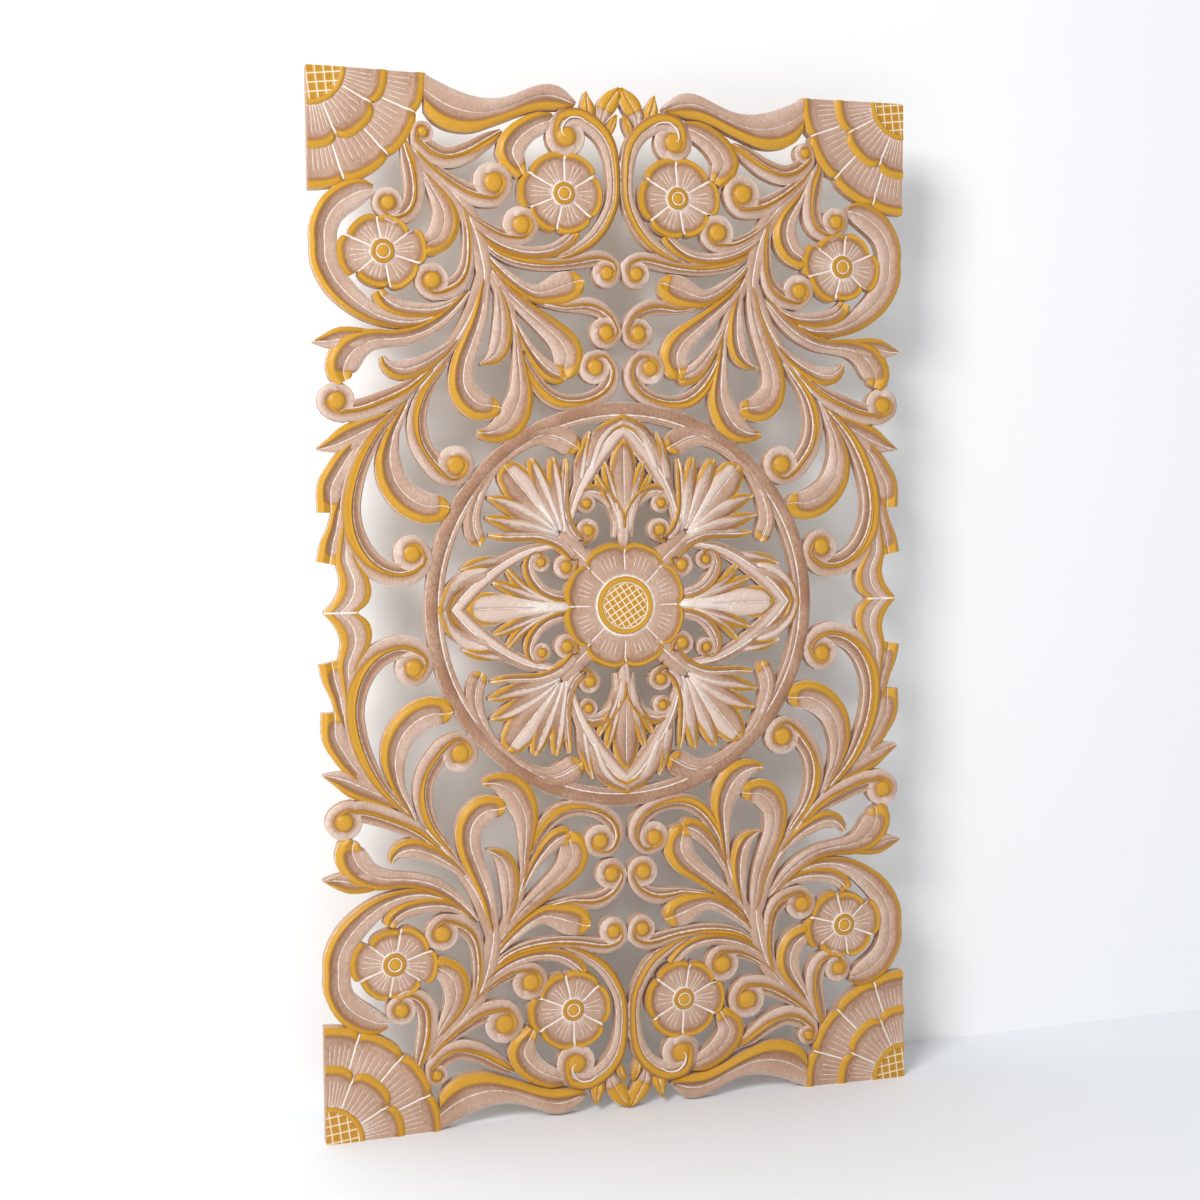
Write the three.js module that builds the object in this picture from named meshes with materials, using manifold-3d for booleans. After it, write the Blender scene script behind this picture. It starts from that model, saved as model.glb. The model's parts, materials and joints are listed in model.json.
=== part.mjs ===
// Pierced wall panel of carved board: scrolls, leaves and flowers around a ring.
// Millimetres, +Z up, the front faces -Y. The origin is the middle of the flat back.
import * as THREE from 'three';
import { mergeVertices } from 'three/addons/utils/BufferGeometryUtils.js';
import Module from 'manifold-3d';

const wasm = await Module();
wasm.setup();

// Driving sizes of the panel
const WIDTH = 600;
const HEIGHT = 1000;
const DEPTH = 15;
const HALF_WIDTH = WIDTH / 2;
const HALF_HEIGHT = HEIGHT / 2;

// Heights above the flat back
const LOW_EDGE = 0.62 * DEPTH;
const WALL = 0.72 * DEPTH;
const CREST = 0.95 * DEPTH;

// Shapes first run past their flat faces, which one cut for all of them then trims
const OVERRUN = 4;

// Fineness of the facets
const TURN_PER_STEP = 0.95;
const LENGTH_PER_STEP = 200;
const SPLINE_SAMPLES = 90;
const SMALLEST_ADVANCE = 0.05;

// Heights of a stroke's front at its outer and its inner edge
const LEAF_SECTION = [LOW_EDGE, CREST];
const FLAT_SECTION = [WALL + OVERRUN, WALL + OVERRUN];

// The side of a stroke that its outer edge is on, looking from its root to its tip
const LEFT = 1;
const RIGHT = -1;

// A stroke lists [x, z, width] along its middle line, from its root to its tip,
// for the upper left quarter. An eye is [x, z, radius] of the knob a scroll winds round.
const SCROLLS = [
  { outer: RIGHT, eye: [-54.5, 449, 19.5], line: [[-68, 335, 8], [-36, 348, 12],
    [-14.5, 373, 13.5], [-6.8, 408, 12.5], [-12.5, 444, 16.5], [-30, 463, 18.5], [-52, 467, 19]] },
  { outer: LEFT, eye: [-193, 446, 10.5], line: [[-117, 452, 4], [-137, 438, 16.5],
    [-157, 427, 19.5], [-177, 424.5, 20], [-196, 437, 16]] },
  { outer: LEFT, eye: [-226.5, 379.5, 14.5], line: [[-209, 430, 12], [-202, 410, 18],
    [-201, 386, 19.5], [-216, 367, 15]] },
  { outer: LEFT, eye: [-186, 309.5, 16], line: [[-152, 362, 9], [-150.5, 332, 12],
    [-161, 307, 17], [-180, 298, 14]] },
  { outer: LEFT, eye: [-277.5, 196.5, 17.5], line: [[-190, 224, 8], [-233, 197, 20],
    [-270, 187, 19]] },
  { outer: RIGHT, eye: [-166, 137, 18.5], line: [[-180, 226, 6], [-201, 186, 17],
    [-198, 154, 20.5], [-181, 131, 20], [-170, 124, 12]] },
  { outer: RIGHT, eye: [-209.5, 54, 17.5], line: [[-211, 198, 3], [-236, 172, 10.5],
    [-254, 143, 16.5], [-264, 113, 19], [-265.5, 84, 20.5], [-256, 56, 23], [-234.5, 37, 23],
    [-208, 37, 22], [-198, 46, 14]] },
  { outer: RIGHT, eye: [-126, 402.5, 19.5], line: [[-180, 411, 10], [-151, 392.5, 19],
    [-129, 388, 18]] },
  { outer: RIGHT, eye: [-99.5, 364, 18], line: [[-150, 374, 5], [-115, 353, 13],
    [-100, 352, 14]] },
  { outer: LEFT, eye: [-15, 321, 14], line: [[-130, 343, 6], [-78, 327.5, 11.5],
    [-22, 335, 15], [-6, 328, 11]] },
  { outer: LEFT, eye: [-16.5, 264, 15.5], line: [[-80, 290, 8], [-47, 289, 12],
    [-24, 287, 15.5], [-6, 270, 11]] },
  { outer: RIGHT, eye: [-28, 230.5, 16], line: [[-98, 238, 6], [-88, 218, 13],
    [-65, 198.5, 16.5], [-35, 199, 15], [-13, 215, 17], [-11, 232, 14]] },
];

const LEAVES = [
  { outer: LEFT, line: [[-186, 399, 10], [-173, 366, 26], [-178, 349, 26],
    [-190, 341, 18]] },
  { outer: LEFT, line: [[-160, 292, 5], [-190, 281.5, 13], [-222, 285, 16],
    [-238, 298, 12]] },
  { outer: RIGHT, line: [[-150, 300, 5], [-177, 273, 14], [-208, 257.5, 15], [-240, 254.5, 18],
    [-264, 242, 26], [-271, 214, 16]] },
  { outer: RIGHT, line: [[-258, 257, 15], [-284, 253, 13], [-299, 250.5, 1]] },
  { outer: LEFT, line: [[-166, 252, 6], [-205, 227, 18], [-229, 229, 13],
    [-234, 238, 4]] },
  { outer: RIGHT, line: [[-212, 196, 5], [-229, 150, 21], [-219.5, 112, 29.5],
    [-195, 96.5, 30], [-176, 97, 18]] },
  { outer: RIGHT, line: [[-126, 327, 8], [-90, 301, 17], [-60, 305.5, 31],
    [-36, 310, 12]] },
  { outer: LEFT, line: [[-124, 313, 8], [-82, 274.5, 19], [-59.5, 255, 28],
    [-57, 226, 22]] },
  { outer: RIGHT, line: [[-102, 264, 6], [-82, 234, 16], [-62, 220, 14]] },
  { outer: LEFT, line: [[-122, 300, 10], [-120, 254, 20], [-141, 232, 3]] },
  { outer: LEFT, line: [[-104, 250, 9], [-101, 205, 24], [-113, 177, 30],
    [-129, 167, 20], [-144, 166.5, 7]] },
  { outer: RIGHT, line: [[-137, 300, 12], [-152, 248, 21], [-158, 210, 26],
    [-146, 194, 29], [-125, 193, 14]] },
  { outer: RIGHT, line: [[-64, 469, 17], [-88, 458, 24], [-107, 439, 28], [-108, 426, 26],
    [-98, 411, 12]] },
  { outer: LEFT, line: [[-166, 285, 6], [-201, 271, 11], [-232, 273, 16], [-259, 288, 23],
    [-280, 311, 26], [-287.5, 340, 25.5], [-282, 366, 27], [-262, 385, 27], [-240, 391, 12]] },
  { outer: LEFT, line: [[-152, 108, 3], [-122, 142, 11], [-92, 162, 17], [-65, 163.5, 24],
    [-50, 153, 20]] },
  { outer: RIGHT, line: [[-116, 148, 3], [-138, 120, 10], [-150.5, 89, 16], [-146, 66, 17],
    [-143, 59, 9]] },
  // top edge wave
  { outer: RIGHT, line: [[-199, 488, 22], [-176, 473, 40], [-150, 465, 34], [-125, 468, 27],
    [-100, 477, 21], [-74, 485, 24], [-50, 482, 11]] },
  // small leaf below the top flower
  { outer: RIGHT, line: [[-150, 366, 3], [-120, 344.5, 11], [-88, 338, 12], [-61, 345, 13],
    [-45, 359, 10]] },
];

// Bands that carry no gold ridge: stem, volutes of the fan, arms to the ring, finial curls
const STEMS = [
  { line: [[-206, 436, 24], [-166, 394, 22], [-139, 350, 32], [-130, 306, 20]] },
  { line: [[-134, 312, 16], [-158, 262, 14], [-186, 226, 14], [-218, 192, 8]] },
  { line: [[-126, 318, 18], [-108, 266, 13], [-97, 236, 8]] },
  { eye: [-59.3, 38.6, 12], line: [[-76, 64, 10], [-62, 58, 14], [-53, 46, 12]] },
  { eye: [-36.5, 73.5, 11.5], line: [[-58, 90, 12], [-54, 75, 15], [-42, 64, 12]] },
  { line: [[-62, 60, 8], [-98, 54, 13], [-131, 36, 18], [-156, 16, 28], [-174, -2, 26]] },
  { line: [[-120, 47, 10], [-144, 42, 15], [-163, 38, 3]] },
  { line: [[-56, 70, 8], [-47, 108, 13], [-31, 140, 18], [-14, 162, 30], [2, 176, 26]] },
  { line: [[-46, 118, 10], [-42, 145, 14], [-34, 169, 3]] },
  { eye: [-84.5, 43.5, 9.5], line: [[-58, 8, 10], [-86, 19, 13], [-97, 42, 10]] },
  { eye: [-38, 99.5, 9.5], line: [[-5, 66, 12], [-8, 95, 14], [-24, 111, 14], [-40, 109, 10]] },
  { line: [[-64, 66, 16], [-50, 54, 22], [-32, 37, 24]] },
];

// Flat lobed leaves by their outline: [x, z] round the edge
const LOBED = {
  fan: [[-134, 65], [-137, 86], [-121, 89], [-134, 104], [-118, 106], [-126, 122], [-117, 136],
    [-99, 132], [-93, 143], [-79, 132], [-70, 143], [-63, 134], [-57, 143], [-54, 112],
    [-48, 76], [-56, 55], [-80, 62]],
  sideFinial: [[-158, 0], [-153, 12], [-142, 19], [-125, 13], [-132, 25], [-112, 20],
    [-119, 38], [-104, 30], [-86, 18], [-46, 8], [-46, -8], [-140, -18]],
  topFinial: [[0, 163], [-9, 156], [-13, 142], [-10, 128], [-20, 139], [-14, 116], [-29, 127],
    [-22, 110], [-10, 96], [-9, 46], [9, 46], [14, 142]],
  sideLeaf: [[-222, 192], [-262, 177], [-284, 162], [-296, 152], [-270, 141], [-286, 135],
    [-295, 124], [-296.5, 92], [-266, 92], [-264, 118], [-244, 152]],
  seamLeaf: [[-278, 94], [-287, 72], [-298, 46.5], [-281, 42], [-281, 28], [-290, 9],
    [-292, -3], [-268, -3], [-255, 9], [-252, 22], [-252, 40], [-266, 66], [-268, 94]],
  pointedBud: [[-41, 472], [-40, 481], [-34.5, 492.5], [-25, 480], [-24, 472]],
  middleBud: [[-28, 472], [-24, 484], [-12, 494], [1, 497], [1, 486], [-9, 470], [-16, 466]],
  lowBud: [[-20, 458], [-4, 472], [-6, 442]],
};

// A flower: middle, radius of its hub, and per petal [start angle, tip radius] in degrees and mm
const FLOWERS = [
  { middle: [-57.5, 395], hub: 11.5, tips: [[-38.7, 39.5], [30.6, 41], [88, 41], [150.9, 45],
    [203, 40], [258.2, 39]] },
  { middle: [-232.5, 334.5], hub: 12, tips: [[-15.7, 43], [36, 35], [99, 37], [157.4, 44],
    [219.4, 34], [282, 38.5]] },
];
const MIDDLE_FLOWER = { middle: [0, 0], hub: 28, petal: 63, count: 8 };

// Corner rosette: radii of its outer petals, inner petals and hatched disc
const ROSETTE = { outer: 111, inner: 75, disc: 36.5 };
const OUTER_PETALS = [-90, -72, -46, -20];
const INNER_PETALS = [-90, -66.8, -27.4];

const RING = { outer: 197.5, inner: 180, ridge: 190, facets: 36 };
const EYE_FACETS = 5;
const HUB_FACETS = 6;
const DISC_FACETS = 12;

// Petal rim: [share of the petal's angle, share of its radius], from its notch
const PETAL_RIM = [[0, 0.87], [0.28, 1], [0.72, 1]];
const CORNER_RIM = [[0, 0.96], [0.28, 1], [0.72, 1]];

// Turn vertices and triangles into a solid with its faces pointing out
function solidFrom(vertices, triangles) {
  let volume = 0;
  for (const [a, b, c] of triangles) {
    volume += vertices[a].dot(vertices[b].clone().cross(vertices[c]));
  }
  const order = volume > 0 ? triangles : triangles.map(([a, b, c]) => [a, c, b]);
  return new wasm.Manifold(new wasm.Mesh({
    numProp: 3,
    vertProperties: new Float32Array(vertices.flatMap((v) => v.toArray())),
    triVerts: new Uint32Array(order.flat()),
  }));
}

function solidFromGeometry(geometry) {
  geometry.deleteAttribute('normal');
  geometry.deleteAttribute('uv');
  const merged = mergeVertices(geometry, 1e-4);
  return new wasm.Manifold(new wasm.Mesh({
    numProp: 3,
    vertProperties: new Float32Array(merged.attributes.position.array),
    triVerts: new Uint32Array(merged.index.array),
  }));
}

// Loft closed loops of equal length into one closed solid, with flat fans at both ends
function loft(loops) {
  const around = loops[0].length;
  const vertices = loops.flat();
  const triangles = [];
  for (let i = 0; i + 1 < loops.length; i++) {
    for (let k = 0; k < around; k++) {
      const a = i * around + k;
      const b = i * around + (k + 1) % around;
      triangles.push([a, b, b + around], [a, b + around, a + around]);
    }
  }
  const last = (loops.length - 1) * around;
  for (let k = 1; k + 1 < around; k++) {
    triangles.push([0, k + 1, k], [last, last + k, last + k + 1]);
  }
  return solidFrom(vertices, triangles);
}

// Places along a stroke, closer together where it turns: middle point with width as y
function stations(line) {
  const points = line.map(([x, z, width]) => new THREE.Vector3(x, width, z));
  const fine = new THREE.CatmullRomCurve3(points, false, 'catmullrom', 0.5)
    .getPoints(SPLINE_SAMPLES);
  const cost = [0];
  for (let i = 1; i < fine.length; i++) {
    const step = new THREE.Vector2(fine[i].x - fine[i - 1].x, fine[i].z - fine[i - 1].z);
    const next = fine[Math.min(i + 1, fine.length - 1)];
    const ahead = new THREE.Vector2(next.x - fine[i].x, next.z - fine[i].z);
    const turn = ahead.lengthSq() > 0 ? Math.abs(step.angleTo(ahead)) : 0;
    cost.push(cost[i - 1] + step.length() / LENGTH_PER_STEP + turn / TURN_PER_STEP);
  }
  const count = Math.max(2, Math.ceil(cost.at(-1)));
  const chosen = [];
  for (let k = 0; k <= count; k++) {
    chosen.push(fine[cost.findIndex((value) => value >= (k / count) * cost.at(-1) - 1e-9)]);
  }
  return chosen;
}

// Keep an edge from running backwards inside a tight bend
function keepForward(edge, directions) {
  for (let i = 1; i < edge.length; i++) {
    const advance = edge[i].clone().sub(edge[i - 1]).dot(directions[i]);
    if (advance < SMALLEST_ADVANCE) {
      edge[i] = edge[i - 1].clone().addScaledVector(directions[i], SMALLEST_ADVANCE);
    }
  }
  return edge;
}

// A carved stroke: upright walls and a front that slopes across from one edge to the other
function stroke({ line, outer = LEFT }, [outerHeight, innerHeight]) {
  const places = stations(line);
  const middles = places.map((p) => new THREE.Vector3(p.x, 0, p.z));
  const directions = middles.map((p, i) => middles[Math.min(i + 1, middles.length - 1)].clone()
    .sub(middles[Math.max(i - 1, 0)]).normalize());
  const edge = (side) => keepForward(middles.map((p, i) => p.clone().addScaledVector(
    new THREE.Vector3(-directions[i].z, 0, directions[i].x), side * places[i].y / 2)), directions);
  const outside = edge(outer);
  const inside = edge(-outer);
  return loft(middles.map((p, i) => [
    outside[i].clone().setY(OVERRUN), outside[i].clone().setY(-outerHeight),
    inside[i].clone().setY(-innerHeight), inside[i].clone().setY(OVERRUN),
  ]));
}

// A turned shape about an axis along Y: profile of [radius, height above the back]
function turned([x, z], profile, facets) {
  const points = profile.map(([radius, height]) => new THREE.Vector2(radius, -height));
  const geometry = new THREE.LatheGeometry(points, facets);
  geometry.translate(x, 0, z);
  return solidFromGeometry(geometry);
}

function knob([x, z, radius]) {
  return turned([x, z], [[0, CREST], [radius, WALL], [radius, -OVERRUN], [0, -OVERRUN]], EYE_FACETS);
}

// A plain upright shape over an outline, past both of its flat faces
function upright(outline) {
  const shape = new THREE.Shape(outline.map(([x, z]) => new THREE.Vector2(x, z)));
  const geometry = new THREE.ExtrudeGeometry(shape, { depth: WALL + 2 * OVERRUN,
    bevelEnabled: false });
  geometry.rotateX(Math.PI / 2);
  geometry.translate(0, OVERRUN, 0);
  return solidFromGeometry(geometry);
}

// A rim of [x, z, height] with a front that rises or falls from it to one inner point
function petals({ root, outline }) {
  const place = ([x, z, height]) => new THREE.Vector3(x, -height, z);
  const rim = outline.map(place);
  const back = rim.map((p) => p.clone().setY(OVERRUN));
  const around = rim.length;
  const vertices = [...back, ...rim, place(root), place(root).setY(OVERRUN)];
  const triangles = [];
  for (let k = 0; k < around; k++) {
    const next = (k + 1) % around;
    triangles.push([k, next, around + next], [k, around + next, around + k]);
    triangles.push([around + k, around + next, 2 * around], [next, k, 2 * around + 1]);
  }
  return solidFrom(vertices, triangles);
}

// The rim of a round flower: petals of [start angle, tip radius]
function petalRim([x, z], tips, endAngle, [tipHeight, notchHeight], rim = PETAL_RIM) {
  return tips.flatMap(([start, tip], i) => {
    const end = i + 1 < tips.length ? tips[i + 1][0] : endAngle;
    return rim.map(([share, reach]) => {
      const angle = THREE.MathUtils.degToRad(start + share * (end - start));
      return [x + tip * reach * Math.cos(angle), z + tip * reach * Math.sin(angle),
        share > 0 ? tipHeight : notchHeight];
    });
  });
}

function flower({ middle, hub, tips }) {
  const outline = petalRim(middle, tips, tips[0][0] + 360, [WALL, LOW_EDGE]);
  const dome = [[0, CREST], [hub, CREST], [hub, -OVERRUN], [0, -OVERRUN]];
  return petals({ root: [...middle, WALL], outline }).add(turned(middle, dome, HUB_FACETS));
}

function middleFlower({ middle, hub, petal, count }) {
  const tips = Array.from({ length: count }, (_, i) => [i * 360 / count, petal]);
  const outline = petalRim(middle, tips, 360, [WALL, LOW_EDGE]);
  const dome = [[0, DEPTH], [hub, CREST], [hub, -OVERRUN], [0, -OVERRUN]];
  return petals({ root: [...middle, WALL], outline }).add(turned(middle, dome, DISC_FACETS));
}

function cornerRosette() {
  const corner = [-HALF_WIDTH, HALF_HEIGHT];
  const tier = (angles, radius, heights) => petals({
    root: [...corner, WALL],
    outline: petalRim(corner, [...angles, 0].map((angle) => [angle, radius]), 270, heights,
      CORNER_RIM),
  });
  const disc = [[0, DEPTH], [ROSETTE.disc, CREST], [ROSETTE.disc, -OVERRUN], [0, -OVERRUN]];
  return tier(OUTER_PETALS, ROSETTE.outer, [WALL, LOW_EDGE])
    .add(tier(INNER_PETALS, ROSETTE.inner, [CREST, WALL]))
    .add(turned(corner, disc, DISC_FACETS));
}

function ring() {
  const { outer, inner, ridge, facets } = RING;
  return turned([0, 0], [[inner, -OVERRUN], [inner, LOW_EDGE], [ridge, CREST], [outer, WALL],
    [outer, -OVERRUN], [inner, -OVERRUN]], facets);
}

// A box round one quarter between two heights above the back
function quarterBox(low, high) {
  const box = new THREE.BoxGeometry(HALF_WIDTH, high - low, HALF_HEIGHT);
  box.translate(-HALF_WIDTH / 2, -(low + high) / 2, HALF_HEIGHT / 2);
  return solidFromGeometry(box);
}

function mirrored(solid, normal) {
  return solid.add(solid.mirror(normal));
}

function joined(solids) {
  return solids.reduce((sum, solid) => sum.add(solid));
}

// The upper left quarter, cut flat at the back
function quarter() {
  const flatBands = joined([
    ...[...STEMS, ...SCROLLS].map((item) => stroke(item, FLAT_SECTION)),
    ...Object.values(LOBED).map(upright),
  ]).intersect(quarterBox(-2 * OVERRUN, WALL));
  return joined([
    flatBands,
    ...LEAVES.map((item) => stroke(item, LEAF_SECTION)),
    ...[...SCROLLS, ...STEMS].filter((item) => item.eye).map((item) => knob(item.eye)),
    ...FLOWERS.map(flower),
    middleFlower(MIDDLE_FLOWER),
    cornerRosette(),
    ring(),
  ]).intersect(quarterBox(0, 2 * DEPTH));
}

function panelGeometry() {
  const solid = mirrored(mirrored(quarter(), [1, 0, 0]), [0, 0, 1]);
  const mesh = solid.getMesh();
  const geometry = new THREE.BufferGeometry();
  geometry.setAttribute('position', new THREE.BufferAttribute(mesh.vertProperties, 3));
  geometry.setIndex(new THREE.BufferAttribute(mesh.triVerts, 1));
  geometry.computeVertexNormals();
  return geometry;
}

const carvedBoard = new THREE.MeshStandardMaterial({ color: 0xc4a07c, roughness: 0.55,
  metalness: 0 });

const panel = new THREE.Mesh(panelGeometry(), carvedBoard);
panel.name = 'carved_panel';

const object = new THREE.Group();
object.add(panel);

export default object;
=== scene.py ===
import json
import math

import bpy
import numpy as np
from mathutils import Matrix, Vector

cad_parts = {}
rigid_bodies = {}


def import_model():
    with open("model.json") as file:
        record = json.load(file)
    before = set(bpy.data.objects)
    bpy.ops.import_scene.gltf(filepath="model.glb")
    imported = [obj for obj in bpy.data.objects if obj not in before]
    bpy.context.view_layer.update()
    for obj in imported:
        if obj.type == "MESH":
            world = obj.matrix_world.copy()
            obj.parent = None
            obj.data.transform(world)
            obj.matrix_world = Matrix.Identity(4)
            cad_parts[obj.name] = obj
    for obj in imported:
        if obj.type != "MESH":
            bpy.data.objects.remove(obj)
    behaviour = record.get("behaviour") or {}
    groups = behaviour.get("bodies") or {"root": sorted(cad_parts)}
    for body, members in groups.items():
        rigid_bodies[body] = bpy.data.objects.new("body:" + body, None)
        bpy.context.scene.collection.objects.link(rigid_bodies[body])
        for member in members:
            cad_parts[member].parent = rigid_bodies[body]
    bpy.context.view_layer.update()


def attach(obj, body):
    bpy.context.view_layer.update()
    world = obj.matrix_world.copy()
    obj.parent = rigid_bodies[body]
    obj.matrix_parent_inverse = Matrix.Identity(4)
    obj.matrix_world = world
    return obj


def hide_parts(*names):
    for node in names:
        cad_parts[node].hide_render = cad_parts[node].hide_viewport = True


MM = 0.001

# Sizes of the panel in millimetres, in the frame of its flat back
HALF_WIDTH = 300.0
HALF_HEIGHT = 500.0
DEPTH = 15.0
CORNER = (-HALF_WIDTH, HALF_HEIGHT)
MIDDLE = (0.0, 0.0)

# Fineness of the carved surface
STEP = 5.7
SHARP_ANGLE = math.radians(40)

# Heights of the carving above the back
EDGE = 10.4
FIELD = 11.4
GROOVE = 0.9
RISE = 3.0

# Shares of a scroll's width and of its eye's radius
SCROLL_LINE = 0.61
DOME = 0.46

# The band round an eye: turning step, count of steps and the section of its plain rim
EYE_STEP = 0.42
EYE_TURNS = 11
RIM_PARTS = (0.0, 0.07, 0.2, 0.34, 0.46, 0.54, 0.8)
RIM_HEIGHTS = (10.4, 12.2, 13.4, 13.5, 12.8, 12.3, 12.0)

# The side of a stroke that its outer edge is on, looking from its root to its tip
LEFT = 1
RIGHT = -1

# A value well outside a painted band
FAR = -20.0

# Scrolls of the upper left quarter: outer side, the eye they wind round, and their
# middle line of x, z and width from root to tip
SCROLLS = [
    (LEFT, (-193, 446, 10.5), [
        (-117, 452, 4), (-127, 444.5, 13), (-137, 438, 16.5), (-147, 431.5, 18.5),
        (-157, 427, 19.5), (-167, 424, 19.5), (-177, 424.5, 20), (-187, 429, 20),
        (-196, 437, 16)]),
    (LEFT, (-226.5, 379.5, 14.5), [
        (-211, 440, 4), (-208, 428, 12), (-204, 417, 17), (-201.5, 405, 18.5),
        (-200.5, 393, 19), (-202, 381, 20), (-208, 371, 18), (-217, 366.5, 14)]),
    (LEFT, (-186, 309.5, 16.5), [
        (-160, 385, 4), (-154, 370, 7), (-151, 355, 10), (-150.5, 340, 11.5),
        (-151.5, 327, 13), (-155, 315, 16), (-162, 306, 18), (-171, 301, 18),
        (-180, 298, 14)]),
    (LEFT, (-277.5, 196.5, 17.5), [
        (-180, 233, 3), (-194, 222, 9), (-207, 211, 14), (-220, 203, 18), (-233, 197, 20),
        (-246, 191.5, 21), (-258, 188, 21), (-268, 187, 19)]),
    (RIGHT, (-166, 137, 18.5), [
        (-169, 240, 3), (-179, 226, 7), (-190, 212, 11), (-198, 197, 15), (-202, 182, 18),
        (-202, 168, 19.5), (-198, 154, 20.5), (-190, 141.5, 20.5), (-181, 131, 20),
        (-172, 124, 14)]),
    (RIGHT, (-209.5, 54, 17.5), [
        (-211, 198, 3), (-224, 185, 7), (-236, 172, 10.5), (-246, 158, 14), (-254, 143, 16.5),
        (-260, 128, 18), (-264, 113, 19), (-266, 98, 19.5), (-265.5, 84, 20.5),
        (-262.5, 70, 22), (-256, 56, 23), (-246.5, 44.5, 23.5), (-234.5, 37, 23),
        (-221, 34, 23), (-208, 37, 22), (-199, 44, 18)]),
    (RIGHT, (-126, 402.5, 19.5), [
        (-204, 436, 4), (-190, 420, 8), (-176, 408, 12), (-163, 399, 16), (-151, 392.5, 19),
        (-140, 389.5, 20), (-129, 388, 18)]),
    (RIGHT, (-99.5, 364, 18), [
        (-168, 395, 3), (-153, 376, 5), (-141, 366, 8), (-128, 358, 10), (-115, 353, 13),
        (-102, 352, 14)]),
    (LEFT, (-15, 321, 14), [
        (-138, 349, 3), (-125, 338, 8), (-110, 331.5, 10), (-94, 328.5, 11), (-78, 327.5, 11.5),
        (-61, 328.5, 12), (-45, 331, 13), (-30, 334.5, 15), (-18, 335, 15), (-9, 331, 13)]),
    (LEFT, (-16.5, 264, 15.5), [
        (-84, 292, 6), (-60, 287.5, 7), (-47, 289, 12), (-34, 290, 16), (-22, 286.5, 15.5),
        (-12, 279, 13.5), (-6, 269, 11)]),
    (RIGHT, (-28, 230.5, 16), [
        (-102, 248, 3), (-96, 232, 8), (-88, 218, 13), (-78, 206.5, 16), (-65, 198.5, 16.5),
        (-50, 196.5, 15.5), (-35, 199, 15), (-22, 205, 16), (-12.5, 215, 17), (-10, 228, 15),
        (-15, 238, 12)]),
]

# The tall scroll beside the middle of the top edge, golden over its outer half
CREST_SCROLL = (RIGHT, (-54.5, 449, 19.5), [
    (-68, 332, 4), (-53, 337.5, 8), (-41, 344.5, 11), (-31, 351.5, 13), (-22, 361, 13.5),
    (-14.5, 373, 13.5), (-9, 386, 13), (-6.8, 400, 12.5), (-7, 415, 13), (-8.5, 430, 14.5),
    (-12.5, 444, 16.5), (-20, 455, 17.5), (-30, 463, 18.5), (-41, 468, 18.5), (-52, 467, 19)])

# The raised white line that curls into the crest scroll's eye
CREST_HOOK = [
    (-31, 460, 1.4), (-37, 465.5, 1.5), (-44, 467.5, 1.6), (-51, 466.5, 1.7), (-56.5, 461.5, 1.7),
    (-59, 456, 1.7), (-58.5, 451, 1.4), (-56, 449, 0.8)]

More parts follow.
